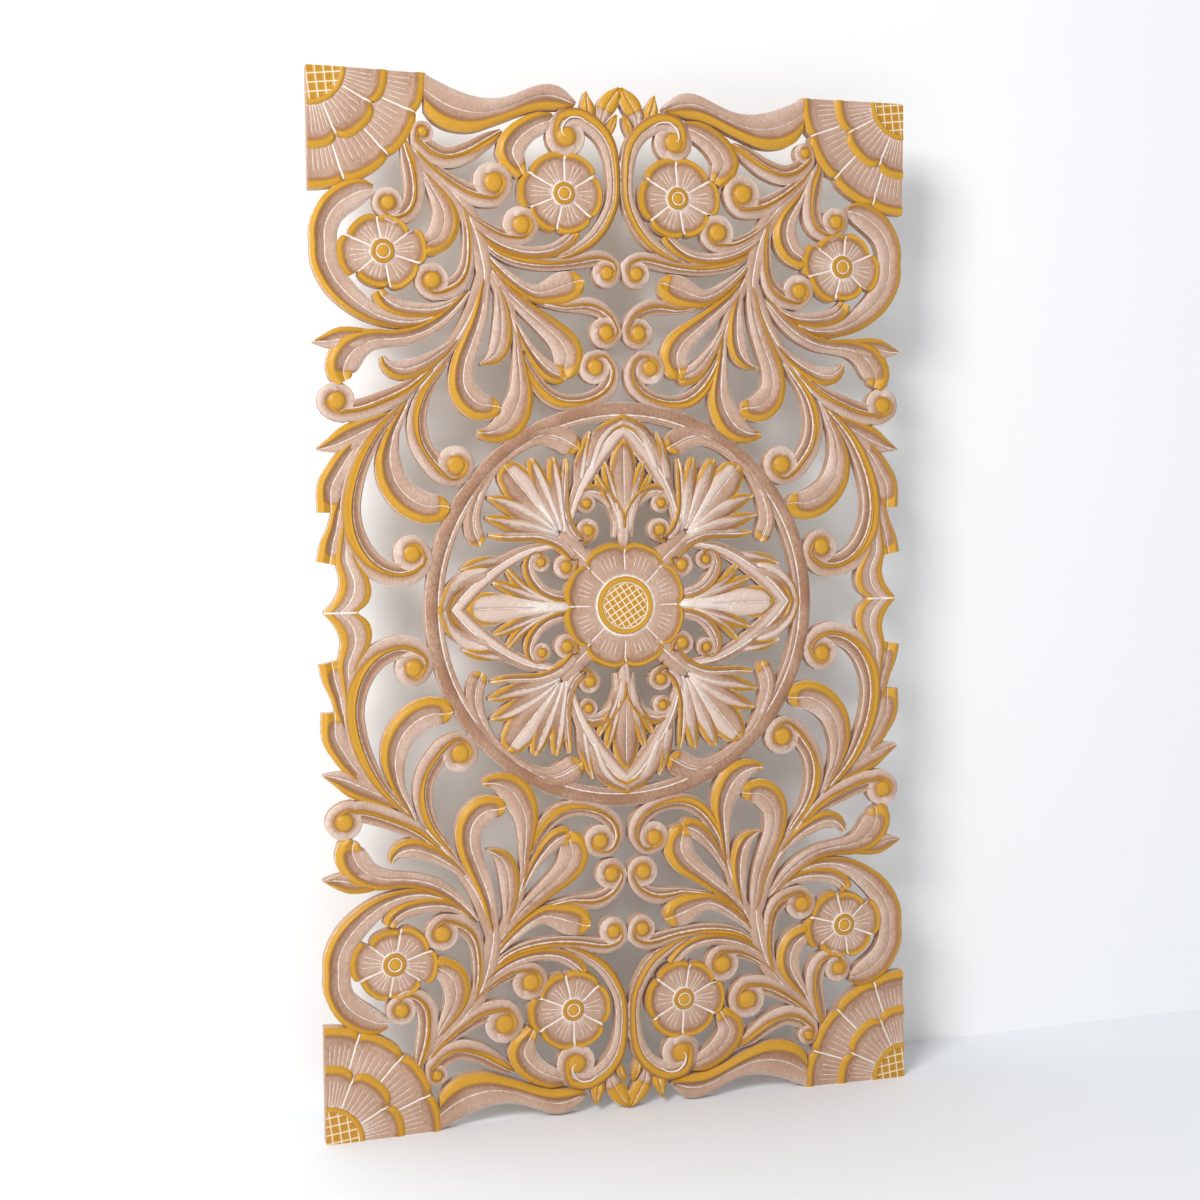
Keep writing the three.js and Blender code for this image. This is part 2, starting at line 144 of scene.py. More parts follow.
# Leaves of the quarter, each with a golden outer edge
LEAVES = [
    (RIGHT, [
        (-150, 366, 3), (-135, 353, 8), (-120, 344.5, 11), (-104, 339.5, 12), (-88, 338, 12),
        (-73, 340, 12.5), (-61, 345, 13), (-51, 352.5, 13), (-45, 359, 10)]),
    (LEFT, [
        (-195, 414, 2), (-188, 401, 9), (-180, 389, 16), (-173, 376, 23), (-172, 362, 27),
        (-178, 349, 26), (-187, 342, 21)]),
    (LEFT, [
        (-153, 298, 3), (-166, 289.5, 7), (-180, 283, 11), (-194, 281, 14.5),
        (-208, 281.5, 15.5), (-222, 284.5, 16), (-233, 291, 16), (-237, 298, 12)]),
    (RIGHT, [
        (-150, 301, 4), (-163, 286, 11), (-177, 273, 14), (-192, 263.5, 15), (-208, 257.5, 15),
        (-224, 255, 15), (-240, 254, 19), (-253, 250, 25), (-264, 242, 31), (-271, 231, 31),
        (-273, 221, 25), (-270, 214, 15)]),
    (RIGHT, [
        (-244, 256, 14), (-258, 255, 19), (-272, 254.5, 20), (-285, 252, 14),
        (-298, 250.5, 1.5)]),
    (LEFT, [
        (-157, 262, 3), (-170, 249, 8), (-183, 238.5, 13), (-197, 230.5, 17), (-211, 225.5, 19),
        (-223, 226, 17), (-231, 231, 11), (-234, 238, 4)]),
    (RIGHT, [
        (-208, 203, 3), (-216, 186, 8), (-224, 170, 12), (-228.5, 155, 18), (-230, 141, 24),
        (-227, 125, 28), (-219.5, 112, 29.5), (-208, 102, 31), (-195, 96.5, 30),
        (-186, 96, 27)]),
    (RIGHT, [
        (-135, 338, 3), (-124, 325, 8), (-111, 313.5, 12), (-98, 304.5, 14), (-85, 299.5, 18),
        (-72, 301.5, 25), (-60, 305.5, 31), (-52, 308, 29)]),
    (LEFT, [
        (-131, 325, 3), (-120, 308, 9), (-107, 295, 13), (-94, 284, 16), (-82, 274.5, 19),
        (-70, 265, 23), (-59.5, 255, 28), (-54, 243, 31), (-55, 233, 27)]),
    (RIGHT, [
        (-110, 280, 3), (-101, 262, 7), (-93, 248, 11), (-83, 235, 16), (-73, 225.5, 19),
        (-65, 221.5, 16)]),
    (LEFT, [
        (-126, 315, 3), (-122, 300, 8), (-119, 283, 15), (-118.5, 266, 20), (-120.5, 252, 20),
        (-125.5, 241, 17), (-133, 235, 9), (-141, 232, 2)]),
    (LEFT, [
        (-107, 276, 3), (-105, 257, 7), (-103.5, 240, 11), (-101.5, 222, 17), (-101, 205, 24),
        (-105, 190, 29), (-113, 177, 30), (-124, 169, 23), (-134, 166, 15), (-144, 166.5, 7)]),
    (RIGHT, [
        (-133, 318, 5), (-136, 302, 11), (-139, 285, 15), (-144, 268, 18), (-151, 250, 21),
        (-157.5, 232, 23), (-159, 214, 26), (-153.5, 201, 29), (-143, 192.5, 28),
        (-133, 191, 22)]),
    (RIGHT, [
        (-66, 466, 12), (-77, 462, 20), (-88, 457, 23), (-99, 449, 26), (-107, 439, 28),
        (-109, 430, 28), (-104, 420, 22), (-98, 411, 12)]),
]

# The long band round the outer flower, whose end runs on under its neighbours
BORDER_SCROLL = [
    (-166, 285, 4), (-185, 275.5, 7), (-201, 270.5, 9), (-217, 270, 12), (-232, 273, 15),
    (-246, 279, 19), (-259, 288, 23), (-271, 299, 25.5), (-280, 311, 26), (-286, 326, 26),
    (-286.5, 340, 25.5), (-286.5, 353, 26.5), (-282, 366, 27), (-274, 376.5, 28),
    (-262, 385, 27), (-250, 390, 22), (-240, 391, 10)]

# Leaves along the left border, down to the seam at mid height
BORDER_LEAVES = [
    (RIGHT, [(-222, 184, 12), (-252, 170, 22), (-268, 162, 24), (-282, 156, 15), (-296, 152, 2)]),
    (RIGHT, [(-256, 160, 12), (-268, 146, 18), (-277, 132, 22), (-285, 116, 23),
             (-286.5, 93, 20)]),
    (RIGHT, [(-272, 110, 8), (-277, 94, 12), (-280, 78, 16), (-285, 62, 20), (-288.5, 46, 20)]),
]

# How far the border leaves lie below the scroll beside them
UNDER = 2.2

# Edges of the leaf that ends on the seam at mid height, from its root down past the seam
SEAM_OUTSIDE = [
    (-276, 80), (-279, 62), (-281, 49), (-279, 38), (-277.5, 28), (-280, 18), (-285.5, 9),
    (-291, 3), (-293.5, 0), (-296, -6)]
SEAM_INSIDE = [
    (-262, 80), (-262, 62), (-260, 49), (-253.5, 38), (-249, 28), (-248, 18), (-251, 9),
    (-257.5, 3), (-263, 0), (-272, -6)]

# How far the roots of strokes start below their surface, and the run that they rise over
ROOT_SINK = 3.4
ROOT_RUN = 11.0

# Edges of the wave along the top, left to right
WAVE_TOP = [
    (-191, 500), (-175, 492.5), (-160, 486.5), (-145, 482.5), (-130, 481), (-115, 483),
    (-100, 488.5), (-85, 495), (-72, 498), (-60, 496), (-50, 489), (-44, 482)]
WAVE_BOTTOM = [
    (-191, 466), (-184, 457), (-172, 450.5), (-157, 448), (-142, 449.5), (-127, 455),
    (-112, 461), (-98, 467), (-82, 472), (-68, 473.5), (-57, 475), (-46, 478)]

# Plain stems that tie the roots together
STEMS = [
    [(-206, 434, 8), (-190, 416, 12), (-173, 400, 14), (-160, 385, 16), (-150, 370, 18),
     (-143, 352, 20), (-139, 335, 18), (-136, 315, 14), (-140, 290, 10)],
    [(-134, 320, 16), (-150, 278, 14), (-170, 246, 10), (-200, 208, 6)],
    [(-128, 322, 16), (-112, 282, 12), (-100, 245, 8)],
]

# Pale leaf stalks inside the ring, with gold at their tips
INNER_LEAVES = [
    (LEFT, [(-152, 108, 3), (-138, 127, 7), (-122, 142, 11), (-106, 154, 14), (-92, 162, 17),
            (-78, 165.5, 20), (-65, 163.5, 24), (-56, 159, 26)]),
    (RIGHT, [(-116, 148, 3), (-127, 135, 7), (-138, 120, 10), (-146, 104, 13),
             (-150.5, 89, 16), (-150, 76, 18), (-147, 68, 17)]),
]

# Small volutes beside the fan and the finials: eye and line
VOLUTES = [
    (RIGHT, (-59.3, 38.6, 12), [(-135, 70, 4), (-120, 68, 8), (-103, 68, 9), (-86, 67.5, 10),
                               (-72, 63, 12), (-60.5, 56.5, 13), (-53, 48, 12)]),
    (LEFT, (-36.5, 73.5, 11.5), [(-57, 143, 4), (-58.5, 128, 8), (-59.5, 112, 9),
                                 (-59.5, 97, 10), (-57, 84, 11), (-52, 73, 11), (-45, 66, 10)]),
    (LEFT, (-84.5, 43.5, 9.5), [(-58, 8, 12), (-75, 12, 12), (-86, 19, 13), (-94, 30, 13),
                                (-97, 42, 10), (-93, 51, 8)]),
    (RIGHT, (-38, 99.5, 9.5), [(-5, 66, 12), (-4, 82, 14), (-8, 95, 14), (-16, 105.5, 14),
                               (-26, 111, 14), (-36, 112, 12), (-44, 108, 6)]),
]

# Arms that run from the fan out to the ring, with their short side lobes
ARMS = [
    [(-62, 60, 6), (-80, 58, 9), (-98, 54, 12), (-115, 46, 14), (-131, 36, 16), (-146, 25, 18),
     (-158, 14, 19), (-169, 1, 17), (-178, -10, 16)],
    [(-56, 70, 6), (-53, 90, 9), (-47, 108, 13), (-39, 124, 16), (-30, 139, 18),
     (-20, 153, 20), (-10, 165, 20), (1, 173, 16), (10, 182, 16)],
]
ARM_LOBES = [
    [(-120, 46, 8), (-138, 44, 12), (-152, 42, 10), (-163, 38, 2)],
    [(-132, 36, 12), (-150, 32, 16), (-164, 25, 15), (-174, 15, 14), (-179, 2, 14)],
    [(-46, 116, 8), (-43, 136, 12), (-39, 154, 10), (-34, 169, 2)],
    [(-37, 128, 12), (-31, 148, 16), (-24, 163, 15), (-14, 173, 14), (-2, 179, 14)],
]

# Lobes of the fan and of the finials, as lines with widths
FAN_LOBES = [
    [(-66, 69, 5), (-90, 76, 11), (-112, 80, 15), (-126, 84, 12), (-138, 87, 3)],
    [(-68, 72, 5), (-90, 86, 13), (-110, 96, 17), (-123, 102, 14), (-136, 106, 3)],
    [(-68, 74, 5), (-80, 88, 14), (-96, 107, 26), (-107, 120, 33), (-111, 125, 30)],
    [(-64, 74, 5), (-73, 94, 12), (-82, 114, 18), (-88, 129, 17), (-91.5, 138, 11)],
    [(-60, 72, 5), (-65, 95, 11), (-68, 116, 15), (-70, 130, 14), (-71, 140, 9)],
]
FINIAL_LOBES = [
    [(-64, 2, 4), (-84, 7, 7), (-98, 12, 9), (-112, 17, 12), (-122, 21.5, 11), (-129, 24, 6)],
    [(-64, 2, 4), (-84, 9, 7), (-97, 16, 9), (-107, 24, 10.5), (-113, 31, 9), (-117, 36, 5.5)],
    [(-2, 64, 4), (-7, 86, 7), (-10, 104, 9), (-14, 119, 11), (-17, 130, 10), (-19, 137, 6)],
    [(-2, 64, 4), (-8, 84, 7), (-13, 99, 9), (-19, 111, 10.5), (-24, 119, 9), (-27, 125, 5.5)],
]
FINIALS = [
    [(-52, 0, 7), (-66, 0, 11), (-82, 0, 14), (-100, 0, 18), (-118, 0, 26), (-134, 0, 32),
     (-146, 0, 29), (-158, 0, 3)],
    [(0, 52, 7), (0, 66, 11), (0, 82, 14), (0, 100, 17), (0, 118, 22), (0, 136, 26),
     (0, 149, 22), (0, 162, 3)],
]
WEB = [(-66, 68, 16), (-50, 54, 22), (-32, 37, 24)]

# Pointed buds at the middle of the top edge
BUDS = [
    [(-30, 468, 12), (-32, 477, 15), (-33.5, 485, 9), (-34.5, 492.5, 1.5)],
    [(-19, 463, 7), (-17, 472, 14), (-12.5, 481, 19), (-6.5, 490, 15), (-1, 498, 3)],
    [(-12, 452, 6), (-8, 463, 9), (-4, 472, 3)],
]

# Flowers: middle, hub radius, and [start angle, tip radius] of every petal
FLOWERS = [
    ((-57.5, 395), 11.5, [(-38.7, 39.5), (30.6, 41), (88, 41), (150.9, 45), (203, 40),
                          (258.2, 39)]),
    ((-232.5, 334.5), 12, [(-15.7, 43), (36, 35), (99, 37), (157.4, 42.5), (219.4, 34),
                           (282, 38.5)]),
]
PETAL_NOTCH = 0.87
FLOWER_RAY = 0.6
MIDDLE_FLOWER = {"hub": 28.0, "tip": 63.0, "petals": 8}

# Tiers of the corner rosette, their rays and how many degrees they run past the borders
ROSETTE_TIERS = [
    {"angles": [-90, -72, -46, -20, 0], "tip": 111.0, "notch": 106.5, "low": 10.4},
    {"angles": [-90, -66.8, -27.4, 0], "tip": 75.0, "notch": 66.0, "low": 12.0},
]
TIER_RAYS = (0.18, 0.34, 0.5, 0.66, 0.82)
TIER_RAY = 0.62
PAST_BORDER = 5

# The round frame
RING_OUTER = 197.5
RING_INNER = 180.0
RING_SECTORS = 200

# Paint, as plain sRGB values
GOLD_LIGHT = (203, 150, 43)
GOLD_DEEP = (168, 117, 33)
PINK_LIGHT = (211, 187, 172)
PINK = (185, 150, 128)
BROWN = (152, 110, 82)
WHITE = (243, 237, 231)
SIDE_TONE = (196, 160, 134)
BACK_TONE = (190, 164, 138)
BACK_LIGHT = (206, 184, 160)
FLOOR = (245, 249, 253)
WALL = (250, 251, 252)

# Camera fitted to the corners of the panel in the photograph, in millimetres
CAMERA_PLACE = (-498.2, -1562.4, 91.6)
CAMERA_FORWARD = (0.29124, 0.95519, -0.05285)
CAMERA_UP = (0.02545, 0.04749, 0.99855)
CAMERA_LENS = 50.09

# The wall's distance behind the panel in metres, and the light
BACKDROP_GAP = 0.085
KEY_POWER = 79
FILL_POWER = 8
BACK_POWER = 9
WORLD_STRENGTH = 0.36


def linear(colour):
    """An sRGB colour of 0 to 255 as the shader takes it."""
    values = []
    for channel in colour:
        c = channel / 255
        values.append(c / 12.92 if c <= 0.04045 else ((c + 0.055) / 1.055) ** 2.4)
    return (*values, 1.0)


def catmull(points, t):
    """A point on the smooth curve through all points, t from 0 to 1."""
    spans = len(points) - 1
    place = min(t * spans, spans - 1e-9)
    i = int(place)
    u = place - i
    p1, p2 = points[i], points[i + 1]
    p0 = points[i - 1] if i > 0 else 2 * p1 - p2
    p3 = points[i + 2] if i + 2 <= spans else 2 * p2 - p1
    return 0.5 * (2 * p1 + (p2 - p0) * u + (2 * p0 - 5 * p1 + 4 * p2 - p3) * u * u
                  + (3 * p1 - p0 - 3 * p2 + p3) * u ** 3)


def resample(line, step=STEP):
    """Stations along a line at even steps."""
    points = [np.array(p, float) for p in line]
    fine = np.array([catmull(points, t) for t in np.linspace(0, 1, 40 * len(points))])
    run = np.concatenate([[0], np.cumsum(np.linalg.norm(np.diff(fine[:, :2], axis=0), axis=1))])
    count = max(2, int(round(run[-1] / step)))
    places = np.linspace(0, run[-1], count + 1)
    return np.array([[np.interp(s, run, fine[:, k]) for k in range(fine.shape[1])]
                     for s in places])


def rounded_tip(stations):
    """Extra stations that close the tip in a half circle."""
    end = stations[-1]
    radius = end[2] / 2
    along = stations[-1, :2] - stations[-2, :2]
    along = along / np.linalg.norm(along)
    extra = []
    for angle in (25, 45, 62, 77, 86):
        a = math.radians(angle)
        middle = end[:2] + along * radius * math.sin(a)
        extra.append([middle[0], middle[1], 2 * radius * math.cos(a)])
    return np.vstack([stations, extra])


def edges_of(stations, outer):
    """Outer and inner edge points of a stroke that never run backwards."""
    middles = stations[:, :2]
    ahead = np.gradient(middles, axis=0)
    ahead /= np.linalg.norm(ahead, axis=1)[:, None]
    side = np.stack([-ahead[:, 1], ahead[:, 0]], axis=1)
    result = []
    for sign in (outer, -outer):
        edge = middles + side * (sign * stations[:, 2:3] / 2)
        for i in range(1, len(edge)):
            advance = float(np.dot(edge[i] - edge[i - 1], ahead[i]))
            if advance < 0.05:
                edge[i] = edge[i - 1] + ahead[i] * 0.05
        result.append(edge)
    return result


# Section profiles: rows of share across, height, gold, white and tone for a width
# The white at the edges of a stroke is a thin pale line, partly rubbed paint and partly painted
# highlight.


def leaf_profile(width, near_tip, gold_share=0.27):
    """From outside: gold, a brown slope, a white line in its groove and a paler edge."""
    relief = min(1.0, width / 15)
    gold_share += 0.1 * smooth((28 - near_tip) / 28)
    gold = min(8.5, max(1.3, gold_share * width))
    line_at = gold + 0.4 * (width - gold)
    slit = min(0.9, 0.07 * width)
    crest = FIELD + RISE * relief
    rows = [
        (0.0, EDGE), (0.3 * gold, EDGE + 2.3 * relief), (0.72 * gold, crest),
        (gold + 0.2, crest - 0.5 * relief),
        (gold + 0.3 * (line_at - gold) + 0.4, FIELD + 0.9 * relief),
        (line_at - slit, FIELD + 0.1 * relief), (line_at, FIELD - GROOVE * relief),
        (line_at + slit, FIELD + 0.6 * relief), (0.5 * (line_at + width), FIELD + 1.7 * relief),
        (0.9 * width, FIELD + 1.1 * relief), (width, EDGE)]
    out = []
    for o, h in rows:
        painted = max(gold - o, 1.25 * gold - near_tip)
        # White in the groove is filler; the thin white at both edges is partly rubbed paint and
        # partly painted highlight.
        white = max(0.65 - abs(o - line_at), 0.5 - (width - o), 0.4 - o)
        beyond = max(0.0, o - gold) / (width - gold)
        out.append((o / width, h, painted, white, 0.25 + 0.6 * beyond))
    return out


def under_profile(width, near_tip):
    """A leaf that starts beneath the scroll beside it."""
    return [(share, h - UNDER, gold, white, tone)
            for share, h, gold, white, tone in leaf_profile(width, near_tip)]


def seam_leaf_profile(width, near_tip):
    """A leaf with gold along both edges, cut by the seam at mid height."""
    rows = [(0.0, EDGE), (0.07, EDGE + 1.4), (0.2, FIELD + 1.5), (0.32, FIELD + 0.4),
            (0.43, FIELD), (0.48, FIELD - 0.8), (0.53, FIELD + 0.2), (0.7, FIELD + 0.7),
            (0.82, FIELD + 1.5), (0.93, FIELD + 0.9), (1.0, EDGE)]
    out = []
    for share, h in rows:
        before, after = share * width, (1 - share) * width
        gold = max(0.25 * width - before, 0.2 * width - after)
        white = max(0.65 - abs(share - 0.48) * width, 0.4 - before, 0.4 - after)
        out.append((share, h, gold, white, 0.75))
    return out


def border_profile(width, near_tip):
    """The long outer band, with little gold."""
    return leaf_profile(width, -FAR, 0.2)


def plain_end_profile(width, near_tip):
    """A leaf whose tip runs on under its neighbour."""
    return leaf_profile(width, -FAR)


def scroll_profile(width, near_tip):
    """From outside: a pink band, a golden ridge, a white line and a brown hollow."""
    relief = min(1.0, width / 14)
    gold_from = 0.4 - 0.3 * min(1.0, max(0.0, (near_tip - 40) / 50))
    rows = [(0.0, EDGE), (0.07, EDGE + 1.6 * relief), (0.2, FIELD + 1.9 * relief),
            (0.36, FIELD + 1.5 * relief), (0.42, FIELD + 1.3 * relief),
            (0.5, FIELD + 3.0 * relief), (0.57, FIELD + 1.9 * relief),
            (SCROLL_LINE, FIELD + 0.2 * relief), (0.66, FIELD + 0.3 * relief),
            (0.8, FIELD - 0.2 * relief), (0.93, FIELD + 0.6 * relief), (1.0, EDGE)]
    out = []
    for share, h in rows:
        o = share * width
        gold = min(o - gold_from * width, 0.58 * width - o)
        white = max(0.6 - abs(o - SCROLL_LINE * width), 0.45 - o, 0.6 - (width - o))
        tone = 0.95 - 1.2 * share if share < 0.5 else 3.2 * share - 2.4
        out.append((share, h, gold, white, tone))
    return out


def crest_profile(width, near_tip):
    """Gold over the outer half, a white line and a pale inner half."""
    rows = [(0.0, EDGE), (0.07, EDGE + 1.8), (0.2, FIELD + 2.2), (0.36, FIELD + 2.9),
            (0.5, FIELD + 1.9), (0.56, FIELD + 0.3), (0.61, FIELD + 1.2), (0.75, FIELD + 1.9),
            (0.92, FIELD + 0.9), (1.0, EDGE)]
    out = []
    for share, h in rows:
        o = share * width
        gold = min(o - 0.1 * width, 0.53 * width - o)
        white = max(0.6 - abs(o - 0.56 * width), 0.45 - o, 0.6 - (width - o))
        out.append((share, h, gold, white, 0.3 if share < 0.5 else 0.75))
    return out


def wave_profile(width, near_tip):
    """The wave along the top, with gold at its lower edge."""
    gold = min(10.5, 0.32 * width)
    line_at = 0.56 * width
    rows = [
        (0.0, EDGE), (0.3 * gold, EDGE + 2.2), (0.8 * gold, FIELD + 2.7),
        (gold + 1.0, FIELD + 2.2), (0.42 * width, FIELD + 0.4), (line_at - 0.9, FIELD + 0.2),
        (line_at, FIELD - 0.8), (line_at + 0.9, FIELD + 0.9), (0.76 * width, FIELD + 2.2),
        (0.92 * width, FIELD + 1.3), (width, EDGE)]
    out = []
    for o, h in rows:
        white = max(0.7 - abs(o - line_at), 0.5 - (width - o))
        beyond = max(0.0, o - gold) / (width - gold)
        out.append((o / width, h, gold - o, white, 0.1 + 0.75 * beyond))
    return out


def stem_profile(width, near_tip):
    """A plain stem with a white line along its middle."""
    relief = min(1.0, width / 16)
    rows = [(0.0, EDGE), (0.2, FIELD + 0.9 * relief), (0.42, FIELD + 0.6 * relief),
            (0.5, FIELD - 0.3 * relief), (0.58, FIELD + 0.6 * relief),
            (0.8, FIELD + 0.9 * relief), (1.0, EDGE)]
    return [(share, h, FAR, 0.7 - abs(share - 0.5) * width, 0.5) for share, h in rows]


def pale_profile(width, near_tip):
    """A lobe with a white vein and gold round its tip, tan at one side of the vein and pale at
    the other as painted shade and painted light.
    """
    relief = min(1.0, width / 11)
    rows = [(0.0, EDGE), (0.1, EDGE + 1.8 * relief), (0.26, FIELD + 2.3 * relief),
            (0.44, FIELD + 1.9 * relief), (0.5, FIELD + 0.5 * relief),
            (0.56, FIELD + 2.1 * relief), (0.74, FIELD + 2.8 * relief),
            (0.9, EDGE + 1.8 * relief), (1.0, EDGE)]
    out = []
    wash = 0.6 * smooth((near_tip - 30) / 45)
    for share, h in rows:
        inside = min(share, 1 - share) * width
        gold = max(3.9 - inside - max(0.0, near_tip - 20) * 0.25, 5.5 - near_tip)
        white = max(0.6 - abs(share - 0.5) * width, 0.45 - inside)
        # One half of the lobe is painted pale and the other tan: painted light and painted shade
        # from a lamp at one side.
        side = 1.1 if share > 0.53 else 0.25
        out.append((share, h, gold, white, side + wash * (0.8 if share > 0.53 else 1.0)))
    return out


def bud_profile(width, near_tip):
    """A small golden leaf with a white vein."""
    rows = ((0.0, EDGE), (0.12, FIELD + 1.0), (0.3, FIELD + 2.2), (0.44, FIELD + 1.4),
            (0.5, FIELD + 0.4), (0.56, FIELD + 1.4), (0.7, FIELD + 2.2), (0.88, FIELD + 1.0),
            (1.0, EDGE))
    out = []
    for share, h in rows:
        inside = min(share, 1 - share) * width
        white = max(0.45 - abs(share - 0.5) * width, 0.35 - inside)
        out.append((share, h, min(5.0, 27.0 - near_tip), white if near_tip > 2 else FAR, 0.8))
    return out


def hook_profile(width, near_tip):
    """A raised white line."""
    rows = ((0.0, 13.6), (0.3, 14.9), (0.7, 14.9), (1.0, 13.6))
    return [(share, h, FAR, 0.9, 0.8) for share, h in rows]


def ring_leaf_profile(width, near_tip):
    """A leaf with a double white line and gold at its tip only."""
    relief = min(1.0, width / 18)
    rows = [(0.0, EDGE), (0.1, EDGE + 1.8 * relief), (0.24, FIELD + 2.4 * relief),
            (0.44, FIELD + 1.5 * relief), (0.5, FIELD + 0.1 * relief),
            (0.56, FIELD + 1.2 * relief), (0.62, FIELD + 0.3 * relief),
            (0.7, FIELD + 1.8 * relief), (0.88, FIELD + 1.4 * relief), (1.0, EDGE)]
    out = []
    for share, h in rows:
        o = share * width
        white = max(0.6 - abs(o - 0.5 * width), 0.3 - abs(o - 0.62 * width), 0.4 - (width - o),
                    0.4 - o)
        gold = max(5.5 - near_tip, 8.0 - near_tip if share > 0.6 else FAR)
        out.append((share, h, gold, white, 0.3 if share < 0.5 else 0.55))
    return out


def arm_profile(width, near_tip):
    """A pale arm with one white line and gold near its tip."""
    relief = min(1.0, width / 16)
    rows = [(0.0, EDGE), (0.12, FIELD + 0.8 * relief), (0.3, FIELD + 1.6 * relief),
            (0.4, FIELD + 0.2 * relief), (0.5, FIELD + 1.3 * relief),
            (0.68, FIELD + 2.2 * relief), (0.86, FIELD + 1.2 * relief), (1.0, EDGE)]
    out = []
    for u, h in rows:
        white = max(0.8 - abs(u - 0.4) * width, 0.6 - (1 - u) * width, 0.5 - u * width)
        gold = 3.2 - u * width - max(0.0, near_tip - 32) * 0.2
        out.append((u, h, gold, white, 1.15 if 0.42 < u < 0.8 else 0.3))
    return out


class Shell:
    """A closed shape with painted distances at every corner of its front."""

    def __init__(self):
        self.points = []
        self.paint = []
        self.faces = []
        self.side = []

    def point(self, x, z, height, gold=FAR, white=FAR, tone=0.5, hatch=FAR):
        self.points.append((x * MM, -height * MM, z * MM))
        self.paint.append((gold, white, tone, hatch))
        return len(self.points) - 1

    def face(self, corners, side=0.0):
        self.faces.append(corners)
        self.side.append(side)

    def strip(self, rings, closed=False):
        """Join rings that each run over the front from the back of one side to the other's."""
        size = len(rings[0])
        following = rings[1:] + rings[:1] if closed else rings[1:]
        for first, second in zip(rings, following):
            for k in range(size):
                n = (k + 1) % size
                side = 0.0 if 0 < k < size - 2 else 1.0
                self.face((first[k], first[n], second[n], second[k]), side)
        if not closed:
            self.face(tuple(reversed(rings[0])), 1.0)
            self.face(tuple(rings[-1]), 1.0)

    def close_round(self, middle, loops, top_values):
        """Join loops round a middle, with a top, side walls and a flat back."""
        top = self.point(*middle, *top_values)
        foot = self.point(*middle, 0.0)
        base = [self.point(self.points[v][0] / MM, self.points[v][2] / MM, 0.0)
                for v in loops[-1]]
        count = len(base)
        for k in range(count):
            n = (k + 1) % count
            self.face((top, loops[0][k], loops[0][n]))
            for first, second in zip(loops, loops[1:]):
                self.face((first[k], second[k], second[n], first[n]))
            self.face((loops[-1][k], base[k], base[n], loops[-1][n]), 1.0)
            self.face((foot, base[n], base[k]), 1.0)

    def build(self, name):
        mesh = bpy.data.meshes.new(name)
        mesh.from_pydata(self.points, [], self.faces)
        paint = np.array(self.paint)
        corner = np.empty(len(mesh.loops), int)
        mesh.loops.foreach_get("vertex_index", corner)
        for k, key in enumerate(("gold", "white", "tone", "hatch")):
            layer = mesh.attributes.new(key, "FLOAT", "CORNER")
            layer.data.foreach_set("value", paint[corner, k])
        layer = mesh.attributes.new("side", "FLOAT", "FACE")
        layer.data.foreach_set("value", self.side)
        if signed_volume(mesh) < 0:
            mesh.flip_normals()
        return bpy.data.objects.new(name, mesh)


def signed_volume(mesh):
    """Six times the volume inside a mesh, below zero where its faces look inwards."""
    total = 0.0
    for polygon in mesh.polygons:
        corners = [mesh.vertices[i].co for i in polygon.vertices]
        for k in range(1, len(corners) - 1):
            total += corners[0].dot(corners[k].cross(corners[k + 1]))
    return total


def sections_of(outside, inside, profile, near_tips):
    """A profile's rows at every station, for the width between the edges."""
    widths = np.maximum(np.linalg.norm(inside - outside, axis=1), 0.4)
    return [profile(float(w), float(t)) for w, t in zip(widths, near_tips)]


def sweep(name, outside, inside, sections):
    """A closed stroke between two edges, with a section's rows at every station."""
    shell = Shell()
    rings = []
    for a, b, rows in zip(outside, inside, sections):
        ring = [shell.point(a[0], a[1], 0.0)]
        for share, height, gold, white, tone in rows:
            p = a + (b - a) * share
            ring.append(shell.point(p[0], p[1], height, gold, white, tone))
        ring.append(shell.point(b[0], b[1], 0.0))
        rings.append(ring)
    shell.strip(rings)
    return shell.build(name)


def distance_along(stations):
    steps = np.linalg.norm(np.diff(stations[:, :2], axis=0), axis=1)
    return np.concatenate([[0], np.cumsum(steps)])


def sunk_roots(sections, run, gold_root=FAR):
    """Let a stroke start low, so that it comes out from under its neighbours."""
    result = []
    for rows, along in zip(sections, run):
        sink = ROOT_SINK * (1 - smooth(along / ROOT_RUN))
        result.append([(share, h - sink, max(gold, gold_root - 0.5 * along), white, tone)
                       for share, h, gold, white, tone in rows])
    return result


def stroke(name, outer, line, profile, round_end=False, step=STEP):
    """A leaf, stem or lobe along a middle line."""
    stations = resample(line, step)
    if round_end:
        stations = rounded_tip(stations)
    outside, inside = edges_of(stations, outer)
    run = distance_along(stations)
    sections = sections_of(outside, inside, profile, run[-1] - run)
    return sweep(name, outside, inside, sunk_roots(sections, run))


def smooth(value):
    share = min(1.0, max(0.0, value))
    return share * share * (3 - 2 * share)


